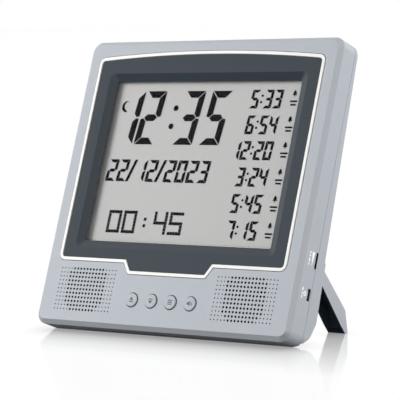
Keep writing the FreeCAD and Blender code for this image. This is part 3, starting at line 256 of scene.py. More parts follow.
# glass that lets light straight through and adds a faint reflection
def thinGlass(name, gloss):
    material = bpy.data.materials.new(name)
    material.use_nodes = True
    material.diffuse_color = (0.9, 0.9, 0.9, 0.2)
    tree = material.node_tree
    tree.nodes.remove(tree.nodes["Principled BSDF"])
    through = addNode(tree, "BsdfTransparent")
    shine = addNode(tree, "BsdfGlossy", Roughness=0.08)
    mix = addNode(tree, "MixShader", [(through.outputs["BSDF"], 1), (shine.outputs["BSDF"], 2)], Fac=gloss)
    tree.links.new(mix.outputs["Shader"], tree.nodes["Material Output"].inputs["Surface"])
    return material


paint = {"silver": (0.47, 0.498, 0.538), "slate": (0.030, 0.042, 0.053), "cream": (0.93, 0.93, 0.90),
         "ink": (0.003, 0.003, 0.004), "lcdGrey": (0.55, 0.55, 0.545), "legShade": (0.05, 0.066, 0.088),
         "holeShadeTone": (0.012, 0.014, 0.018), "print": (0.95, 0.95, 0.95), "legend": (0.10, 0.11, 0.13)}
silver = newMaterial("silver", paint["silver"], 0.45, 0.2, grain=5200, relief=0.006, vary=0.05)
slate = newMaterial("slate", paint["slate"], 0.22, grain=3000, relief=0.003, vary=0.06, specular=0.38)
cream = newMaterial("cream", paint["cream"], 0.25, grain=1200, relief=0.002, vary=0.015)
# a dark colour for painted shade in the legs' channel
legShade = newMaterial("legShade", paint["legShade"], 0.45, grain=1800, relief=0.02, vary=0.12)
# a dark colour for painted shade in the front shell's holes, dimples and gaps
recessShade = newMaterial("recessShade", paint["holeShadeTone"], 0.5, grain=1800, relief=0.02, vary=0.1)
lcdGrey = newMaterial("lcdGrey", paint["lcdGrey"], 0.6, grain=4000, relief=0.001, vary=0.015)
ink = newMaterial("ink", paint["ink"], 0.5, grain=3000, relief=0.001, specular=0.05)
whitePrint = newMaterial("whitePrint", paint["print"], 0.5, grain=3000, relief=0.002, vary=0.03)
legend = newMaterial("legend", paint["legend"], 0.5, grain=3000, relief=0.002, vary=0.08)
innerWhite = newMaterial("innerWhite", (0.7, 0.7, 0.68), 0.5, grain=1500, relief=0.01, vary=0.03)
boardGreen = newMaterial("boardGreen", (0.02, 0.12, 0.045), 0.3, grain=700, relief=0.01, vary=0.25)
chipBlack = newMaterial("chipBlack", (0.012, 0.012, 0.014), 0.42, grain=2200, relief=0.01, vary=0.2)
cloth = newMaterial("cloth", (0.003, 0.003, 0.004), 0.9, grain=1600, relief=0.05, vary=0.5)
steel = newMaterial("steel", (0.5, 0.5, 0.52), 0.35, 1.0, grain=900, relief=0.004, stretch=(1, 12, 1))
darkSteel = newMaterial("darkSteel", (0.16, 0.165, 0.175), 0.35, 1.0, grain=1500, relief=0.006, vary=0.15)
nickel = newMaterial("nickel", (0.62, 0.6, 0.56), 0.24, 1.0, grain=900, relief=0.003, stretch=(1, 12, 1))
cellWrap = newMaterial("cellWrap", (0.02, 0.022, 0.026), 0.3, grain=600, relief=0.004, vary=0.1)
cellBand = newMaterial("cellBand", (0.55, 0.27, 0.1), 0.3, 0.8, grain=600, relief=0.004, vary=0.1)
clear = thinGlass("clear", 0.006)
clearInner = thinGlass("clearInner", 0.001)

finishes = {"housing": silver, "trim": cream, "fascia": slate, "lens": clear, "lcd_glass": clearInner,
            "lcd_face": lcdGrey, "inner_plastic": innerWhite, "rubber_strip": chipBlack, "circuit_board": boardGreen,
            "chips": chipBlack, "cloth": cloth, "speaker_metal": steel, "cone_paper": chipBlack,
            "wheel_plastic": chipBlack, "inlet_metal": nickel, "leg_plastic": silver, "pin_steel": steel,
            "cell_wrap": cellWrap, "contact_metal": nickel, "screw_steel": darkSteel, "button_plastic": silver}
slots = {part["node"]: part["material_slot"] for part in frame["record"]["subparts"]}
for name, node in nodes.items():
    node.data.materials.clear()
    node.data.materials.append(finishes[slots[name]])
print("materials set")


# Front shell. Insets are from the outline of the housing, depths from the face.

shell = {"halfWidth": 107, "bottom": -3, "top": 203.5, "corner": 8, "bevel": 3, "depth": 17, "wall": 2.2,
         "faceWall": 4.2, "grilleWall": 2.2, "edge": 0.4, "rim": 0.45, "lip": 0.25, "seatGap": 2.82, "seatRound": 0.07}
fascia = {"half": 93.3, "bottom": 45.1, "shoulder": 188, "rise": 4.2, "corner": 2.2, "tabHalf": 31.5, "tabRun": 4.9,
          "tabBottom": 37.4, "tabRound": 1.0, "front": 0.3, "back": 2.15, "archSteps": 24}
window = {"half": 84.2, "bottom": 52.2, "top": 179.2, "corner": 4.5, "inset": 5.75, "innerCorner": 1.2, "rim": 1.4,
          "depth": 2.9, "slack": 0.12}
grille = {"first": 43.5, "pitch": 2.8, "rise": 2.88, "low": 7.9, "columns": 18, "radius": 0.8, "chamfer": 0.05,
          "dimple": 0.44, "dimpleEdge": (0.05, 0.06), "dimpleDepth": 1.9, "sides": 24,
          "openRows": [(5, 8), (4, 10)] + [(3, 12)] * 8 + [(4, 10)]}  # first open hole and how many, row by row
buttons = {"pitch": 16.4, "height": 17.2, "hole": 5.2, "names": ["up", "down", "set", "sound"],
           "holeEdge": [(0.12, 0), (0.035, 0.035), (0, 0.12)]}
sideHoles = {"wheel": (14.6, 19, 48.9, 59.8, 0.3), "inlet": (12.55, 15.75, 27.15, 35.35, 0.6), "reach": (3, 1)}
space = {"half": 102, "bottom": 1.9, "top": 41.2, "tabHalf": 40.1, "tabTop": 33.2, "corner": 1.5}


def shellOutline(inset):
    return rectangle(-shell["halfWidth"] + inset, shell["halfWidth"] - inset, shell["bottom"] + inset,
                     shell["top"] - inset, max(shell["corner"] - inset, 0.8), 8)


# the fascia's outline, with its arched top and its lower tab, moved outwards by an offset
def fasciaOutline(offset):
    slip = offset * math.tan(math.atan((fascia["bottom"] - fascia["tabBottom"]) / fascia["tabRun"]) / 2)
    side, low, tab = fascia["half"] + offset, fascia["bottom"] - offset, fascia["tabBottom"] - offset
    tabLow, tabHigh = fascia["tabHalf"] + slip, fascia["tabHalf"] + fascia["tabRun"] + slip
    shoulder = fascia["shoulder"] + offset
    radius = (side ** 2 + fascia["rise"] ** 2) / (2 * fascia["rise"])
    middle = shoulder + fascia["rise"] - radius
    points = [(-side, low), (-tabHigh, low), (-tabLow, tab), (tabLow, tab), (tabHigh, low), (side, low),
              (side, shoulder)]
    corner = fascia["corner"] + offset
    tabIn, tabOut = max(fascia["tabRound"] - offset / 3, 0.3), fascia["tabRound"] + offset / 3
    radii = [corner, tabIn, tabOut, tabOut, tabIn, corner, corner]
    for k in range(1, fascia["archSteps"]):
        x = side - 2 * side * k / fascia["archSteps"]
        points.append((x, middle + math.sqrt(radius ** 2 - x ** 2)))
        radii.append(0)
    points.append((-side, shoulder))
    radii.append(corner)
    return filleted(points, radii)


# the line round the display, outside its opening
def windowSurround(slack):
    out = window["rim"] + slack
    return rectangle(-window["half"] - out, window["half"] + out, window["bottom"] - out, window["top"] + out, 1.0, 3)


# one cell of a speaker field: a square of the face with a drilled hole, or with a blind dimple
def grilleCell(drilled):
    shape = bmesh.new()
    halfX, halfZ, back, sides = grille["pitch"] / 2, grille["rise"] / 2, shell["grilleWall"], grille["sides"]
    squares = []
    for y in (0, back):
        border = loopOf(shape, rectangle(-halfX, halfX, -halfZ, halfZ), y)
        bmesh.ops.subdivide_edges(shape, edges=border, cuts=sides // 4 - 1)
        squares.append([edge for edge in shape.edges if all(abs(vert.co.y - y) < 1e-4 for vert in edge.verts)])
    face, rear = squares
    if drilled:
        radius, chamfer = grille["radius"], grille["chamfer"]
        profile = [(radius + chamfer, 0), (radius, chamfer), (radius, back)]
        rings = [roundLoop(shape, 0, 0, r, y, sides) for r, y in profile]
        joinLoops(shape, [rings[-1], rear])  # first, because loops in one plane can twist once one has faces
        joinLoops(shape, [face] + rings)
    else:
        radius, (chamfer, deep) = grille["dimple"], grille["dimpleEdge"]
        profile = [(radius + chamfer, 0), (radius, deep), (radius * 0.8, grille["dimpleDepth"])]
        rings = [roundLoop(shape, 0, 0, r, y, sides) for r, y in profile]
        joinLoops(shape, [face] + rings)
        for loop in (rings[-1], rear):
            bmesh.ops.contextual_create(shape, geom=loop)
    return asMesh("grilleCell", shape)


# a box whose edges along x are rounded
def roundedBox(shape, low, high, radius):
    place = Matrix.Translation((low + high) / 2) @ Matrix.Diagonal((*(high - low), 1))
    corners = bmesh.ops.create_cube(shape, size=1, matrix=place)["verts"]
    along = [edge for edge in shape.edges
             if edge.verts[0] in corners and abs(edge.verts[0].co.x - edge.verts[1].co.x) > 0.1]
    bmesh.ops.bevel(shape, geom=along, offset=radius, offset_type="OFFSET", segments=4, profile=0.5, affect="EDGES",
                    clamp_overlap=True, material=-1)


# the shape with another one taken out of it
def cutOut(name, shape, tool):
    bmesh.ops.remove_doubles(shape, verts=shape.verts, dist=1e-5)
    for one in (shape, tool):
        bmesh.ops.recalc_face_normals(one, faces=one.faces)
    body, cutter = linked(name, asMesh(name, shape)), linked(name + "Cutter", asMesh(name + "Cutter", tool))
    modifier = body.modifiers.new("cut", "BOOLEAN")
    modifier.operation = "DIFFERENCE"
    modifier.solver = "EXACT"
    modifier.object = cutter
    evaluated = body.evaluated_get(bpy.context.evaluated_depsgraph_get())
    result = bmesh.new()
    result.from_mesh(evaluated.to_mesh())
    evaluated.to_mesh_clear()
    for item in (body, cutter):
        bpy.data.objects.remove(item)
    return result


shape = bmesh.new()
holeCell, dimpleCell = grilleCell(True), grilleCell(False)
for sign in (-1, 1):
    for row, (first, count) in enumerate(grille["openRows"]):
        for column in range(grille["columns"]):
            x = sign * (grille["first"] + column * grille["pitch"])
            cell = holeCell if first <= column < first + count else dimpleCell
            addCopy(shape, cell, Matrix.Translation((x, 0, grille["low"] + row * grille["rise"])))
bmesh.ops.remove_doubles(shape, verts=shape.verts, dist=1e-4)
fronts, backs = [openEdges(shape, 0)], [openEdges(shape, shell["grilleWall"])]
buttonSpots = [((k - 1.5) * buttons["pitch"], buttons["height"]) for k in range(4)]
for x, z in buttonSpots:
    profile = buttons["holeEdge"] + [(0, shell["grilleWall"])]
    rings = [roundLoop(shape, x, z, buttons["hole"] + extra, y) for extra, y in profile]
    joinLoops(shape, rings)
    fronts.append(rings[0])
    backs.append(rings[-1])

# the rim, from the face over the bevel and round the parting edge to the back of the face's wall
outerPath = filleted([(4, 0), (shell["bevel"], 0), (0, shell["bevel"]), (0, shell["depth"]),
                      (shell["wall"], shell["depth"]), (shell["wall"], shell["faceWall"])],
                     [0, shell["edge"], shell["edge"], shell["rim"], shell["lip"], 0], 4, closed=False)
rim = carried(shape, outerPath, shellOutline)
gap = shell["seatGap"]
seatPath = [(gap + shell["lip"], 0), (gap + shell["seatRound"], shell["seatRound"]), (gap, shell["lip"]),
            (gap, shell["grilleWall"])]
seat = carried(shape, seatPath, fasciaOutline)
opening = straightWall(shape, windowSurround(window["slack"]), (shell["grilleWall"], shell["faceWall"]))
fillBetween(shape, [rim[0], seat[0]] + fronts)
fillBetween(shape, [seat[-1], opening[0]])

# the thinner stretch of the face behind the grilles and the buttons
spaceLine = filleted([(-space["half"], space["bottom"]), (space["half"], space["bottom"]),
                      (space["half"], space["top"]), (space["tabHalf"], space["top"]),
                      (space["tabHalf"], space["tabTop"]), (-space["tabHalf"], space["tabTop"]),
                      (-space["tabHalf"], space["top"]), (-space["half"], space["top"])], [space["corner"]] * 8, 3)
thinned = straightWall(shape, spaceLine, (shell["faceWall"], shell["grilleWall"]))
fillBetween(shape, [rim[-1], opening[1], thinned[0]])
fillBetween(shape, [thinned[1]] + backs)

tool = bmesh.new()
inward, outward = sideHoles["reach"]
for yLow, yHigh, zLow, zHigh, radius in (sideHoles["wheel"], sideHoles["inlet"]):
    roundedBox(tool, Vector((shell["halfWidth"] - inward, yLow, zLow)),
               Vector((shell["halfWidth"] + outward, yHigh, zHigh)), radius)
shape = cutOut("frontShellForm", shape, tool)
frontShell = weighted(newPiece("frontShell", shape, [silver, recessShade]))

# silver paint outside; inside the face and in the holes, dimples and gaps a dark colour as painted shade
upright = tilt.inverted()
for face in frontShell.data.polygons:
    x, y, z = upright @ face.center
    within = abs(x) < shell["halfWidth"] - shell["bevel"] and 0 < z < shell["top"] - shell["bevel"]
    face.material_index = 1 if within and y > 0.12 else 0
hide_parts("front_shell")
print("front shell", len(frontShell.data.polygons))


# Trim and fascia

trim = {"inner": 0.25, "outer": 2.54, "front": -0.4, "back": 2.1, "round": 0.3}
gapShadeBand = {"inner": -0.1, "outer": 2.8, "front": 1.3}
trimPath = filleted([(trim["inner"], trim["back"]), (trim["inner"], trim["front"]), (trim["outer"], trim["front"]),
                     (trim["outer"], trim["back"])], [0, trim["round"], trim["round"], 0], 4)
shape = bmesh.new()
carried(shape, trimPath, fasciaOutline, closed=True)
trimBand = weighted(newPiece("trim", shape, cream))
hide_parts("trim_frame")
# a black band under the trim, seen in the gaps on both sides of it: painted shade
shape = bmesh.new()
carried(shape, [(gapShadeBand["inner"], trim["back"]), (gapShadeBand["inner"], gapShadeBand["front"]), (gapShadeBand["outer"], gapShadeBand["front"]),
                (gapShadeBand["outer"], trim["back"])], fasciaOutline, closed=True)
newPiece("trimGapShade", shape, cloth)


# the display opening, from its outer line at 0 to its inner line at 1
def windowOutline(t):
    inset = window["inset"] * t
    radius = window["corner"] + (window["innerCorner"] - window["corner"]) * t
    return rectangle(-window["half"] + inset, window["half"] - inset, window["bottom"] + inset,
                     window["top"] - inset, radius, 8)


shape = bmesh.new()
face, deep = fascia["front"], window["depth"]
edgePath = [(0, fascia["back"]), (0, face + 0.2), (-0.06, face + 0.06), (-0.2, face)]
slopePath = [(-0.03, face), (0.01, face + 0.03), (0.04, face + 0.13), (0.985, deep - 0.03), (1, deep + 0.05),
             (1, deep + 0.08)]
outside = carried(shape, edgePath, fasciaOutline)
inside = carried(shape, slopePath, windowOutline)
behind = straightWall(shape, windowSurround(0), (deep + 0.08, fascia["back"]))
for pair in ([outside[-1], inside[0]], [inside[-1], behind[0]], [outside[0], behind[1]]):
    fillBetween(shape, pair)
bezel = weighted(newPiece("bezel", shape, slate))
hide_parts("fascia_bezel")
print("trim and fascia")


# Display marks, just in front of the pale sheet behind the liquid crystal

# the lit segments of each digit: a to f run clockwise from the top, g is the middle
lit = {"0": "abcdef", "1": "bc", "2": "abdeg", "3": "abcdg", "4": "bcfg", "5": "acdfg", "6": "acdefg", "7": "abc",
       "8": "abcdefg", "9": "abcdfg"}
display = {"depth": 6.16, "slant": 0.1,
           "time": "12:35", "timeSpots": (-74.8, -56.2, -30.4, -22.4, 0.4), "timeSize": (129, 16.9, 38.8, 4.9),
           "date": "22/12/2023", "dateSize": (-75, 102, 8.1, 15.8, 2.3), "dateSpace": 1.5,
           "dots": "00:45", "dotsSpot": (-65, 65), "dotPitch": 2.32, "dotSize": 2.16, "dotStep": 13.4,
           "rows": [("5:33", 155.2), ("6:54", 137), ("12:20", 119), ("3:24", 100.5), ("5:45", 82), ("7:15", 63.6)],
           "rowSize": (29.0, 6.6, 13.2, 2.0), "rowSpace": 1.1, "bell": (72.2, 9.4, 3.0),
           "bars": ((5.0, 2.9), (2.6, 2.2)), "barHalf": 0.6}


# a flat mark from (x, z) points
def flatMark(shape, points, depth=display["depth"]):
    bmesh.ops.contextual_create(shape, geom=loopOf(shape, points, depth))


def block(shape, left, right, bottom, top, depth=display["depth"]):
    flatMark(shape, rectangle(left, right, bottom, top), depth)


def disc(shape, x, z, radius, count=20, depth=display["depth"]):
    bmesh.ops.create_circle(shape, cap_ends=True, segments=count, radius=radius, matrix=facing(x, depth, z))


# flat marks made a piece, with their faces turned to the viewer
def printed(name, shape, finish, body="housing", place=None):
    shape.normal_update()
    bmesh.ops.reverse_faces(shape, faces=[face for face in shape.faces if face.normal.y > 0])
    if place:
        shape.transform(place)
    shape.transform(tilt)
    return settled(name, shape, finish, body, 35)


# one slanted seven-segment digit
def digit(shape, name, left, bottom, width, height, stroke, slant):
    gap, half, middle = stroke * 0.09, stroke / 2, height / 2
    bar = [(gap, height), (width - gap, height), (width - gap - stroke, height - stroke),
           (gap + stroke, height - stroke)]
    post = [(width, height - gap), (width, middle + gap + 0.1 * stroke), (width - half, middle + gap),
            (width - stroke, middle + half + gap), (width - stroke, height - stroke - gap)]
    centre = [(half + gap, middle), (stroke + gap, middle + half), (width - stroke - gap, middle + half),
              (width - half - gap, middle), (width - stroke - gap, middle - half), (stroke + gap, middle - half)]

    def flipped(points, across, up):
        return [(width - x if across else x, height - z if up else z) for x, z in points]

    parts = {"a": bar, "b": post, "c": flipped(post, False, True), "d": flipped(bar, False, True),
             "e": flipped(post, True, True), "f": flipped(post, True, False), "g": centre}
    for part in lit[name]:
        flatMark(shape, [(left + x + slant * z, bottom + z) for x, z in parts[part]])


# digits, colons and strokes in a line
def number(shape, text, left, bottom, width, height, stroke, slant, space):
    for sign in text:
        if sign == ":":
            for level in (0.34, 0.68):
                disc(shape, left + stroke * 0.55 + slant * height * level, bottom + height * level, stroke * 0.42)
            left += stroke * 1.1 + space
        elif sign == "/":
            low, high = left - width * 0.15, left + width * 0.55
            flatMark(shape, [(low, bottom), (low + stroke, bottom), (high + stroke, bottom + height),
                             (high, bottom + height)])
            left += width * 0.3 + stroke + space
        else:
            digit(shape, sign, left, bottom, width, height, stroke, slant)
            left += width + space


# digits made of square dots, five across and seven up
def dotDigits(shape, text, left, bottom):
    pitch, size = display["dotPitch"], display["dotSize"]
    for place, sign in enumerate(text):
        for row in range(7):
            for column in range(5):
                edges = {"d": row == 0, "g": row == 3, "a": row == 6, "e": column == 0 and row < 4,
                         "f": column == 0 and row > 2, "c": column == 4 and row < 4, "b": column == 4 and row > 2}
                on = (column == 2 and row in (2, 4)) if sign == ":" else any(edges[part] for part in lit[sign])
                if on:
                    x, z = left + place * display["dotStep"] + column * pitch, bottom + row * pitch
                    block(shape, x, x + size, z, z + size)


def bell(shape, x, z, size):
    half = [(0.62, 0), (0.42, 0.22), (0.36, 0.72), (0.2, 0.95)]
    points = [(x + size * a, z + size * b) for a, b in half]
    points += [(x - size * a, z + size * b) for a, b in reversed(half)]
    flatMark(shape, points)
    disc(shape, x, z - size * 0.16, size * 0.16, 12)
    disc(shape, x, z + size * 1.02, size * 0.13, 12)


def arc(x, z, radius, start, step, count):
    angles = [math.radians(start + step * k) for k in range(count)]
    return [(x + radius * math.cos(a), z + radius * math.sin(a)) for a in angles]


shape = bmesh.new()
slant = display["slant"]
for sign, spot in zip(display["time"], display["timeSpots"]):
    number(shape, sign, spot, *display["timeSize"], slant, 0)
number(shape, display["date"], *display["dateSize"], slant, display["dateSpace"])
dotDigits(shape, display["dots"], *display["dotsSpot"])
left, width, height, stroke = display["rowSize"]
bellX, bellRise, bellSize = display["bell"]
for text, bottom in display["rows"]:
    start = left + (width + display["rowSpace"]) * (5 - len(text))
    number(shape, text, start, bottom, width, height, stroke, slant * 0.8, display["rowSpace"])
    bell(shape, bellX, bottom + bellRise, bellSize)
    for level, reach in display["bars"]:
        block(shape, bellX - reach, bellX + reach, bottom + level - display["barHalf"],
              bottom + level + display["barHalf"])
flatMark(shape, arc(-69, 156.5, 4.1, 70, 14, 16) + arc(-67.6, 156.9, 3.4, 262, -12, 15))  # a moon
displayMarks = printed("displayMarks", shape, ink)
print("display marks", len(displayMarks.data.polygons))


# Buttons: a cap with a flange, a dark ring in the gap round it as painted shade, and a symbol on it

capPath = [(0, -0.9), (4.1, -0.9), (4.4, -0.87), (4.6, -0.76), (4.7, -0.58), (4.72, -0.35), (4.72, 2.4), (6.1, 2.4),
           (6.1, 3.3), (0, 3.3)]
rimShadePath = [(4.76, 1.6), (4.76, 0.45), (5.18, 0.45), (5.18, 1.6)]
symbolDepth = -0.915


def boxed(left, right, bottom, top):
    return [(left, bottom), (right, bottom), (right, top), (left, top)]


symbols = {"up": [[(-1.7, -0.2), (1.7, -0.2), (0, 2.0)], boxed(-1.7, 1.7, -1.6, -0.9)],
           "down": [[(-1.7, 0.2), (0, -2.0), (1.7, 0.2)], boxed(-1.7, 1.7, 0.9, 1.6)],
           "set": [boxed(-1.8, 1.8, -1.6, -0.9), boxed(-1.8, 1.8, -0.3, 0.4), boxed(-1.8, 1.8, 1.0, 1.7)],
           "sound": [boxed(-2.1, -1.1, -0.7, 0.7), [(-1.1, -0.7), (0.3, -1.9), (0.3, 1.9), (-1.1, 0.7)],
                     boxed(0.9, 1.35, -0.9, 0.9), boxed(1.8, 2.25, -1.5, 1.5)]}
for name, (x, z) in zip(buttons["names"], buttonSpots):
    place = Matrix.Translation((x, 0, z))
    cap = weighted(newPiece(name + "Cap", turned(capPath), silver, "button_" + name, place=place))
    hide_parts("button_%s_cap" % name)
    # a black ring in the gap round the cap: painted shade
    newPiece(name + "RimShade", turned(rimShadePath, closed=True), cloth, place=place)
    shape = bmesh.new()
    for outline in symbols[name]:
        flatMark(shape, outline, symbolDepth)
    printed(name + "Symbol", shape, legend, "button_" + name, place)
print("buttons")


# Rear cover, door, wheel, inlet and legs

parting = {"half": 0.35, "outer": 0.3, "inner": 1}
rear = softened("rearShell", "rear_cover", silver, "housing", 0.45)
door = softened("batteryLid", "battery_door", silver, "battery_door", 0.3)
wheel = softened("wheelRim", "volume_wheel", chipBlack, "volume_wheel", 0.15)
inlet = softened("inletBody", "power_inlet", chipBlack, "housing", 0.15)

# the dark line where the two halves of the housing meet: a black ring in the groove, painted shade for the gap
shape = bmesh.new()
before, after = shell["depth"] - parting["half"], shell["depth"] + parting["half"]
carried(shape, [(parting["outer"], before), (parting["outer"], after), (parting["inner"], after),
                (parting["inner"], before)], shellOutline, closed=True)
partingShadeRing = newPiece("partingShadeRing", shape, ink)

# legs: silver outside; the faces in the channel and those not turned to the back get a dark colour as painted shade
for side, sign in (("left", -1), ("right", 1)):
    leg = softened(side + "Leg", "leg_" + side, [silver, legShade], "leg_" + side, 0.35)
    outerWall = max(vert.co.x * sign for vert in leg.data.vertices)
    for face in leg.data.polygons:
        flank = face.normal.x * sign > 0.5 and face.center.x * sign > outerWall - 0.0004
        away = face.normal.y > 0.35
        face.material_index = 0 if flank or away else 1
print("rear pieces")


# Cells, with a metal-coloured band at one end

bandFrom = 0.0105
shape = copied("battery_cells")
bmesh.ops.bisect_plane(shape, geom=shape.verts[:] + shape.edges[:] + shape.faces[:], plane_co=(bandFrom, 0, 0),
                       plane_no=(1, 0, 0))
for face in shape.faces:
    face.material_index = 1 if face.calc_center_median().x > bandFrom else 0
cells = settled("cells", shape, [cellWrap, cellBand], "housing", 1)
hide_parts("battery_cells")


# Screws with cross recesses

# the low and high corner of each loose piece of a node, in the housing's frame
def loosePieces(node):
    shape = copied(node)
    shape.transform(tilt.inverted())
    waiting, found = set(shape.verts), []
    for vert in shape.verts:
        if vert not in waiting:
            continue
        waiting.remove(vert)
        group, reached = [vert], []
        while group:
            one = group.pop()
            reached.append(one.co.copy())
            for edge in one.link_edges:
                other = edge.other_vert(one)
                if other in waiting:
                    waiting.remove(other)
                    group.append(other)
        low, high = (Vector([pick(p[i] for p in reached) for i in range(3)]) for pick in (min, max))
        found.append((low, high))
    shape.free()
    return sorted(found, key=lambda one: (round(one[0].x, 3), round(one[0].z, 3)))


# a pan-head screw; the top of its head is at 0 and it points towards the face
def screwForm(head, shank, headHigh, length):
    shape = bmesh.new()
    arm, reach = head * 0.13, head * 0.6
    cross = [(arm, reach), (-arm, reach), (-arm, arm), (-reach, arm), (-reach, -arm), (-arm, -arm), (-arm, -reach),
             (arm, -reach), (arm, -arm), (reach, -arm), (reach, arm), (arm, arm)]
    recess = straightWall(shape, cross, (0, -headHigh * 0.5))
    body = [(head * 0.72, 0), (head * 0.9, -headHigh * 0.12), (head, -headHigh * 0.4), (head, -headHigh),
            (shank, -headHigh), (shank, -length)]
    rings = [roundLoop(shape, 0, 0, radius, y) for radius, y in body]
    joinLoops(shape, rings)
    fillBetween(shape, [rings[0], recess[0]])
    for loop in (recess[1], rings[-1]):
        bmesh.ops.contextual_create(shape, geom=loop)
    return asMesh("screw", shape)


shape = bmesh.new()
for low, high in loosePieces("housing_screws"):
    middle = (low + high) / 2
    head, length = (high.x - low.x) / 2, high.y - low.y
    screw = screwForm(head * 0.98, head * 0.5, min(1.6, length * 0.5), length)
    addCopy(shape, screw, Matrix.Translation((middle.x, high.y, middle.z)) @ Matrix.Rotation(0.4 * middle.x, 4, "Y"))
caseScrews = weighted(newPiece("caseScrews", shape, darkSteel))
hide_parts("housing_screws")
print("screws")


# Marks printed beside the side openings, drawn flat as (depth, height) and then turned to the right side

sideMarks = {"proud": 0.012, "wedge": [(11.4, 49.4), (12.8, 59.2), (10.0, 59.2)],
             "wheelBars": (7.2, 8.5, ((50, 51.2), (52.2, 54.6), (55.6, 56.8), (57.8, 59))),
             "inletBars": (6.0, 7.2, ((27.6, 29.4), (30.4, 31.6), (32.6, 34.8))),
             "ring": (9.6, 31.2, 1.7, 1.1, 16), "dot": (9.6, 31.2, 0.6, 12)}
shape = bmesh.new()
flatMark(shape, sideMarks["wedge"], 0)
for near, far, levels in (sideMarks["wheelBars"], sideMarks["inletBars"]):
    for low, high in levels:
        block(shape, near, far, low, high, 0)
x, z, outer, inner, count = sideMarks["ring"]
joinLoops(shape, [roundLoop(shape, x, z, radius, 0, count) for radius in (outer, inner)])
disc(shape, *sideMarks["dot"], 0)
toSide = Matrix.Translation((shell["halfWidth"] + sideMarks["proud"], 0, 0)) @ Matrix.Rotation(math.pi / 2, 4, "Z")
printed("sideMarks", shape, whitePrint, place=toSide)
print("side marks")


# Floor, world, lights and camera

studio = {"front": 0.78, "back": 1.1, "grade": (-0.25, 0.45), "topFade": 0.75, "fadeBetween": (0.28, 0.7),
          "floorGlow": 1.01, "floorGloss": (0.06, 0.6), "floorReach": (-0.11, 0.01), "floorBounce": (0.27, 0.04),
          "floorShade": 0.5, "floorRough": 0.09, "shadeReach": 0.02}
lights = {"faceLight": ((-1.5, -1.25, 0.75), (1.2, 1.2), 41), "sideLight": ((1.8, 0.7, 0.5), (1.2, 1.2), 33)}
view = {"lens": 194.52, "sensor": 36, "eye": (886.2, -1116.7, -216.6), "right": (0.7989, 0.57084, 0.18947),
        "ahead": (-0.60091, 0.77105, 0.21070), "aim": (0, 0, 0.09)}


# rays of the listed kinds see one shader, all other rays see the other
def mixByRay(tree, seen, others, socket, kinds):
    path = addNode(tree, "LightPath")
    amount = path.outputs[kinds[0]]
    for kind in kinds[1:]:
        amount = addNode(tree, "Math", [(amount, 0), (path.outputs[kind], 1)], operation="MAXIMUM").outputs["Value"]
    mix = addNode(tree, "MixShader", [(amount, "Fac"), (others, 1), (seen, 2)])
    tree.links.new(mix.outputs["Shader"], socket)


# a value taken from one range to another
def ranged(tree, source, low, high, interpolation="LINEAR"):
    return addNode(tree, "MapRange", [(source, "Value")], interpolation_type=interpolation, From_Min=low[0],
                   From_Max=low[1], To_Min=high[0], To_Max=high[1]).outputs["Result"]


floorShape = bmesh.new()
bmesh.ops.create_grid(floorShape, x_segments=1, y_segments=1, size=6)
floor = linked("floor", asMesh("floor", floorShape))
floorFinish = bpy.data.materials.new("floorFinish")
floorFinish.use_nodes = True
tree = floorFinish.node_tree
tree.nodes.remove(tree.nodes["Principled BSDF"])
where = addNode(tree, "TexCoord")
spot = addNode(tree, "SeparateXYZ", [(where.outputs["Object"], "Vector")])
gloss = ranged(tree, spot.outputs["Y"], studio["floorReach"], studio["floorGloss"])
shade = addNode(tree, "AmbientOcclusion", samples=8, Distance=studio["shadeReach"])
shadow = ranged(tree, shade.outputs["AO"], (0, 1), (studio["floorShade"], 1))
rest = addNode(tree, "Math", [(gloss, 1)], operation="SUBTRACT")
rest.inputs[0].default_value = studio["floorGlow"]
strength = addNode(tree, "Math", [(shadow, 0), (rest.outputs["Value"], 1)], operation="MULTIPLY")
glow = addNode(tree, "Emission", [(strength.outputs["Value"], "Strength")])
shine = addNode(tree, "BsdfGlossy", [(gloss, "Color")], Roughness=studio["floorRough"])
both = addNode(tree, "AddShader", [(glow.outputs["Emission"], 0), (shine.outputs["BSDF"], 1)])
rays = addNode(tree, "LightPath")
dimmed = ranged(tree, rays.outputs["Is Glossy Ray"], (0, 1), studio["floorBounce"])
bounce = addNode(tree, "BsdfDiffuse", [(dimmed, "Color")])
mixByRay(tree, both.outputs["Shader"], bounce.outputs["BSDF"], tree.nodes["Material Output"].inputs["Surface"],
         ("Is Camera Ray", "Is Transmission Ray"))
floor.data.materials.append(floorFinish)

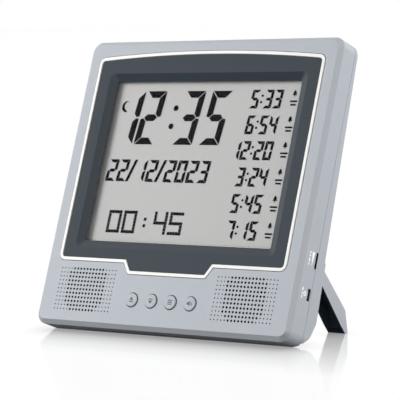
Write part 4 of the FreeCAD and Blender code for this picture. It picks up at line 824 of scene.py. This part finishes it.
world = bpy.data.worlds.new("studio")
bpy.context.scene.world = world
world.use_nodes = True
tree = world.node_tree
around = tree.nodes["Background"]
around.inputs["Color"].default_value = (1, 1, 1, 1)
direction = addNode(tree, "TexCoord")
parts = addNode(tree, "SeparateXYZ", [(direction.outputs["Generated"], "Vector")])
depthwise = ranged(tree, parts.outputs["Y"], studio["grade"], (studio["front"], studio["back"]), "SMOOTHSTEP")
upwards = ranged(tree, parts.outputs["Z"], studio["fadeBetween"], (1, 1 - studio["topFade"]), "SMOOTHSTEP")
level = addNode(tree, "Math", [(depthwise, 0), (upwards, 1)], operation="MULTIPLY")
tree.links.new(level.outputs["Value"], around.inputs["Strength"])
backdrop = addNode(tree, "Background", Color=(1, 1, 1, 1), Strength=1.0)
mixByRay(tree, backdrop.outputs["Background"], around.outputs["Background"],
         tree.nodes["World Output"].inputs["Surface"], ("Is Camera Ray", "Is Transmission Ray", "Is Glossy Ray"))
print("floor and world")

for name, (place, size, power) in lights.items():
    lamp = bpy.data.lights.new(name, "AREA")
    lamp.shape = "RECTANGLE"
    lamp.size, lamp.size_y = size
    lamp.energy = power
    lampObject = linked(name, lamp)
    towards = Vector(view["aim"]) - Vector(place)
    lampObject.matrix_world = Matrix.Translation(place) @ towards.to_track_quat("-Z", "Y").to_matrix().to_4x4()
    lampObject.visible_camera = lampObject.visible_glossy = False

cameraData = bpy.data.cameras.new("camera")
camera = linked("camera", cameraData)
bpy.context.scene.camera = camera
cameraData.sensor_width = view["sensor"]
cameraData.lens = view["lens"]
cameraData.clip_start, cameraData.clip_end = 0.05, 50
lookRight = turnOnly @ Vector(view["right"]).normalized()
lookAhead = turnOnly @ Vector(view["ahead"]).normalized()
lookUp = lookRight.cross(lookAhead).normalized()
lookRight = lookAhead.cross(lookUp).normalized()
cameraTurn = Matrix((lookRight, lookUp, -lookAhead)).transposed().to_4x4()
camera.matrix_world = Matrix.Translation(tilt @ Vector(view["eye"])) @ cameraTurn
bpy.context.scene.view_settings.view_transform = "Standard"
print("lights and camera")
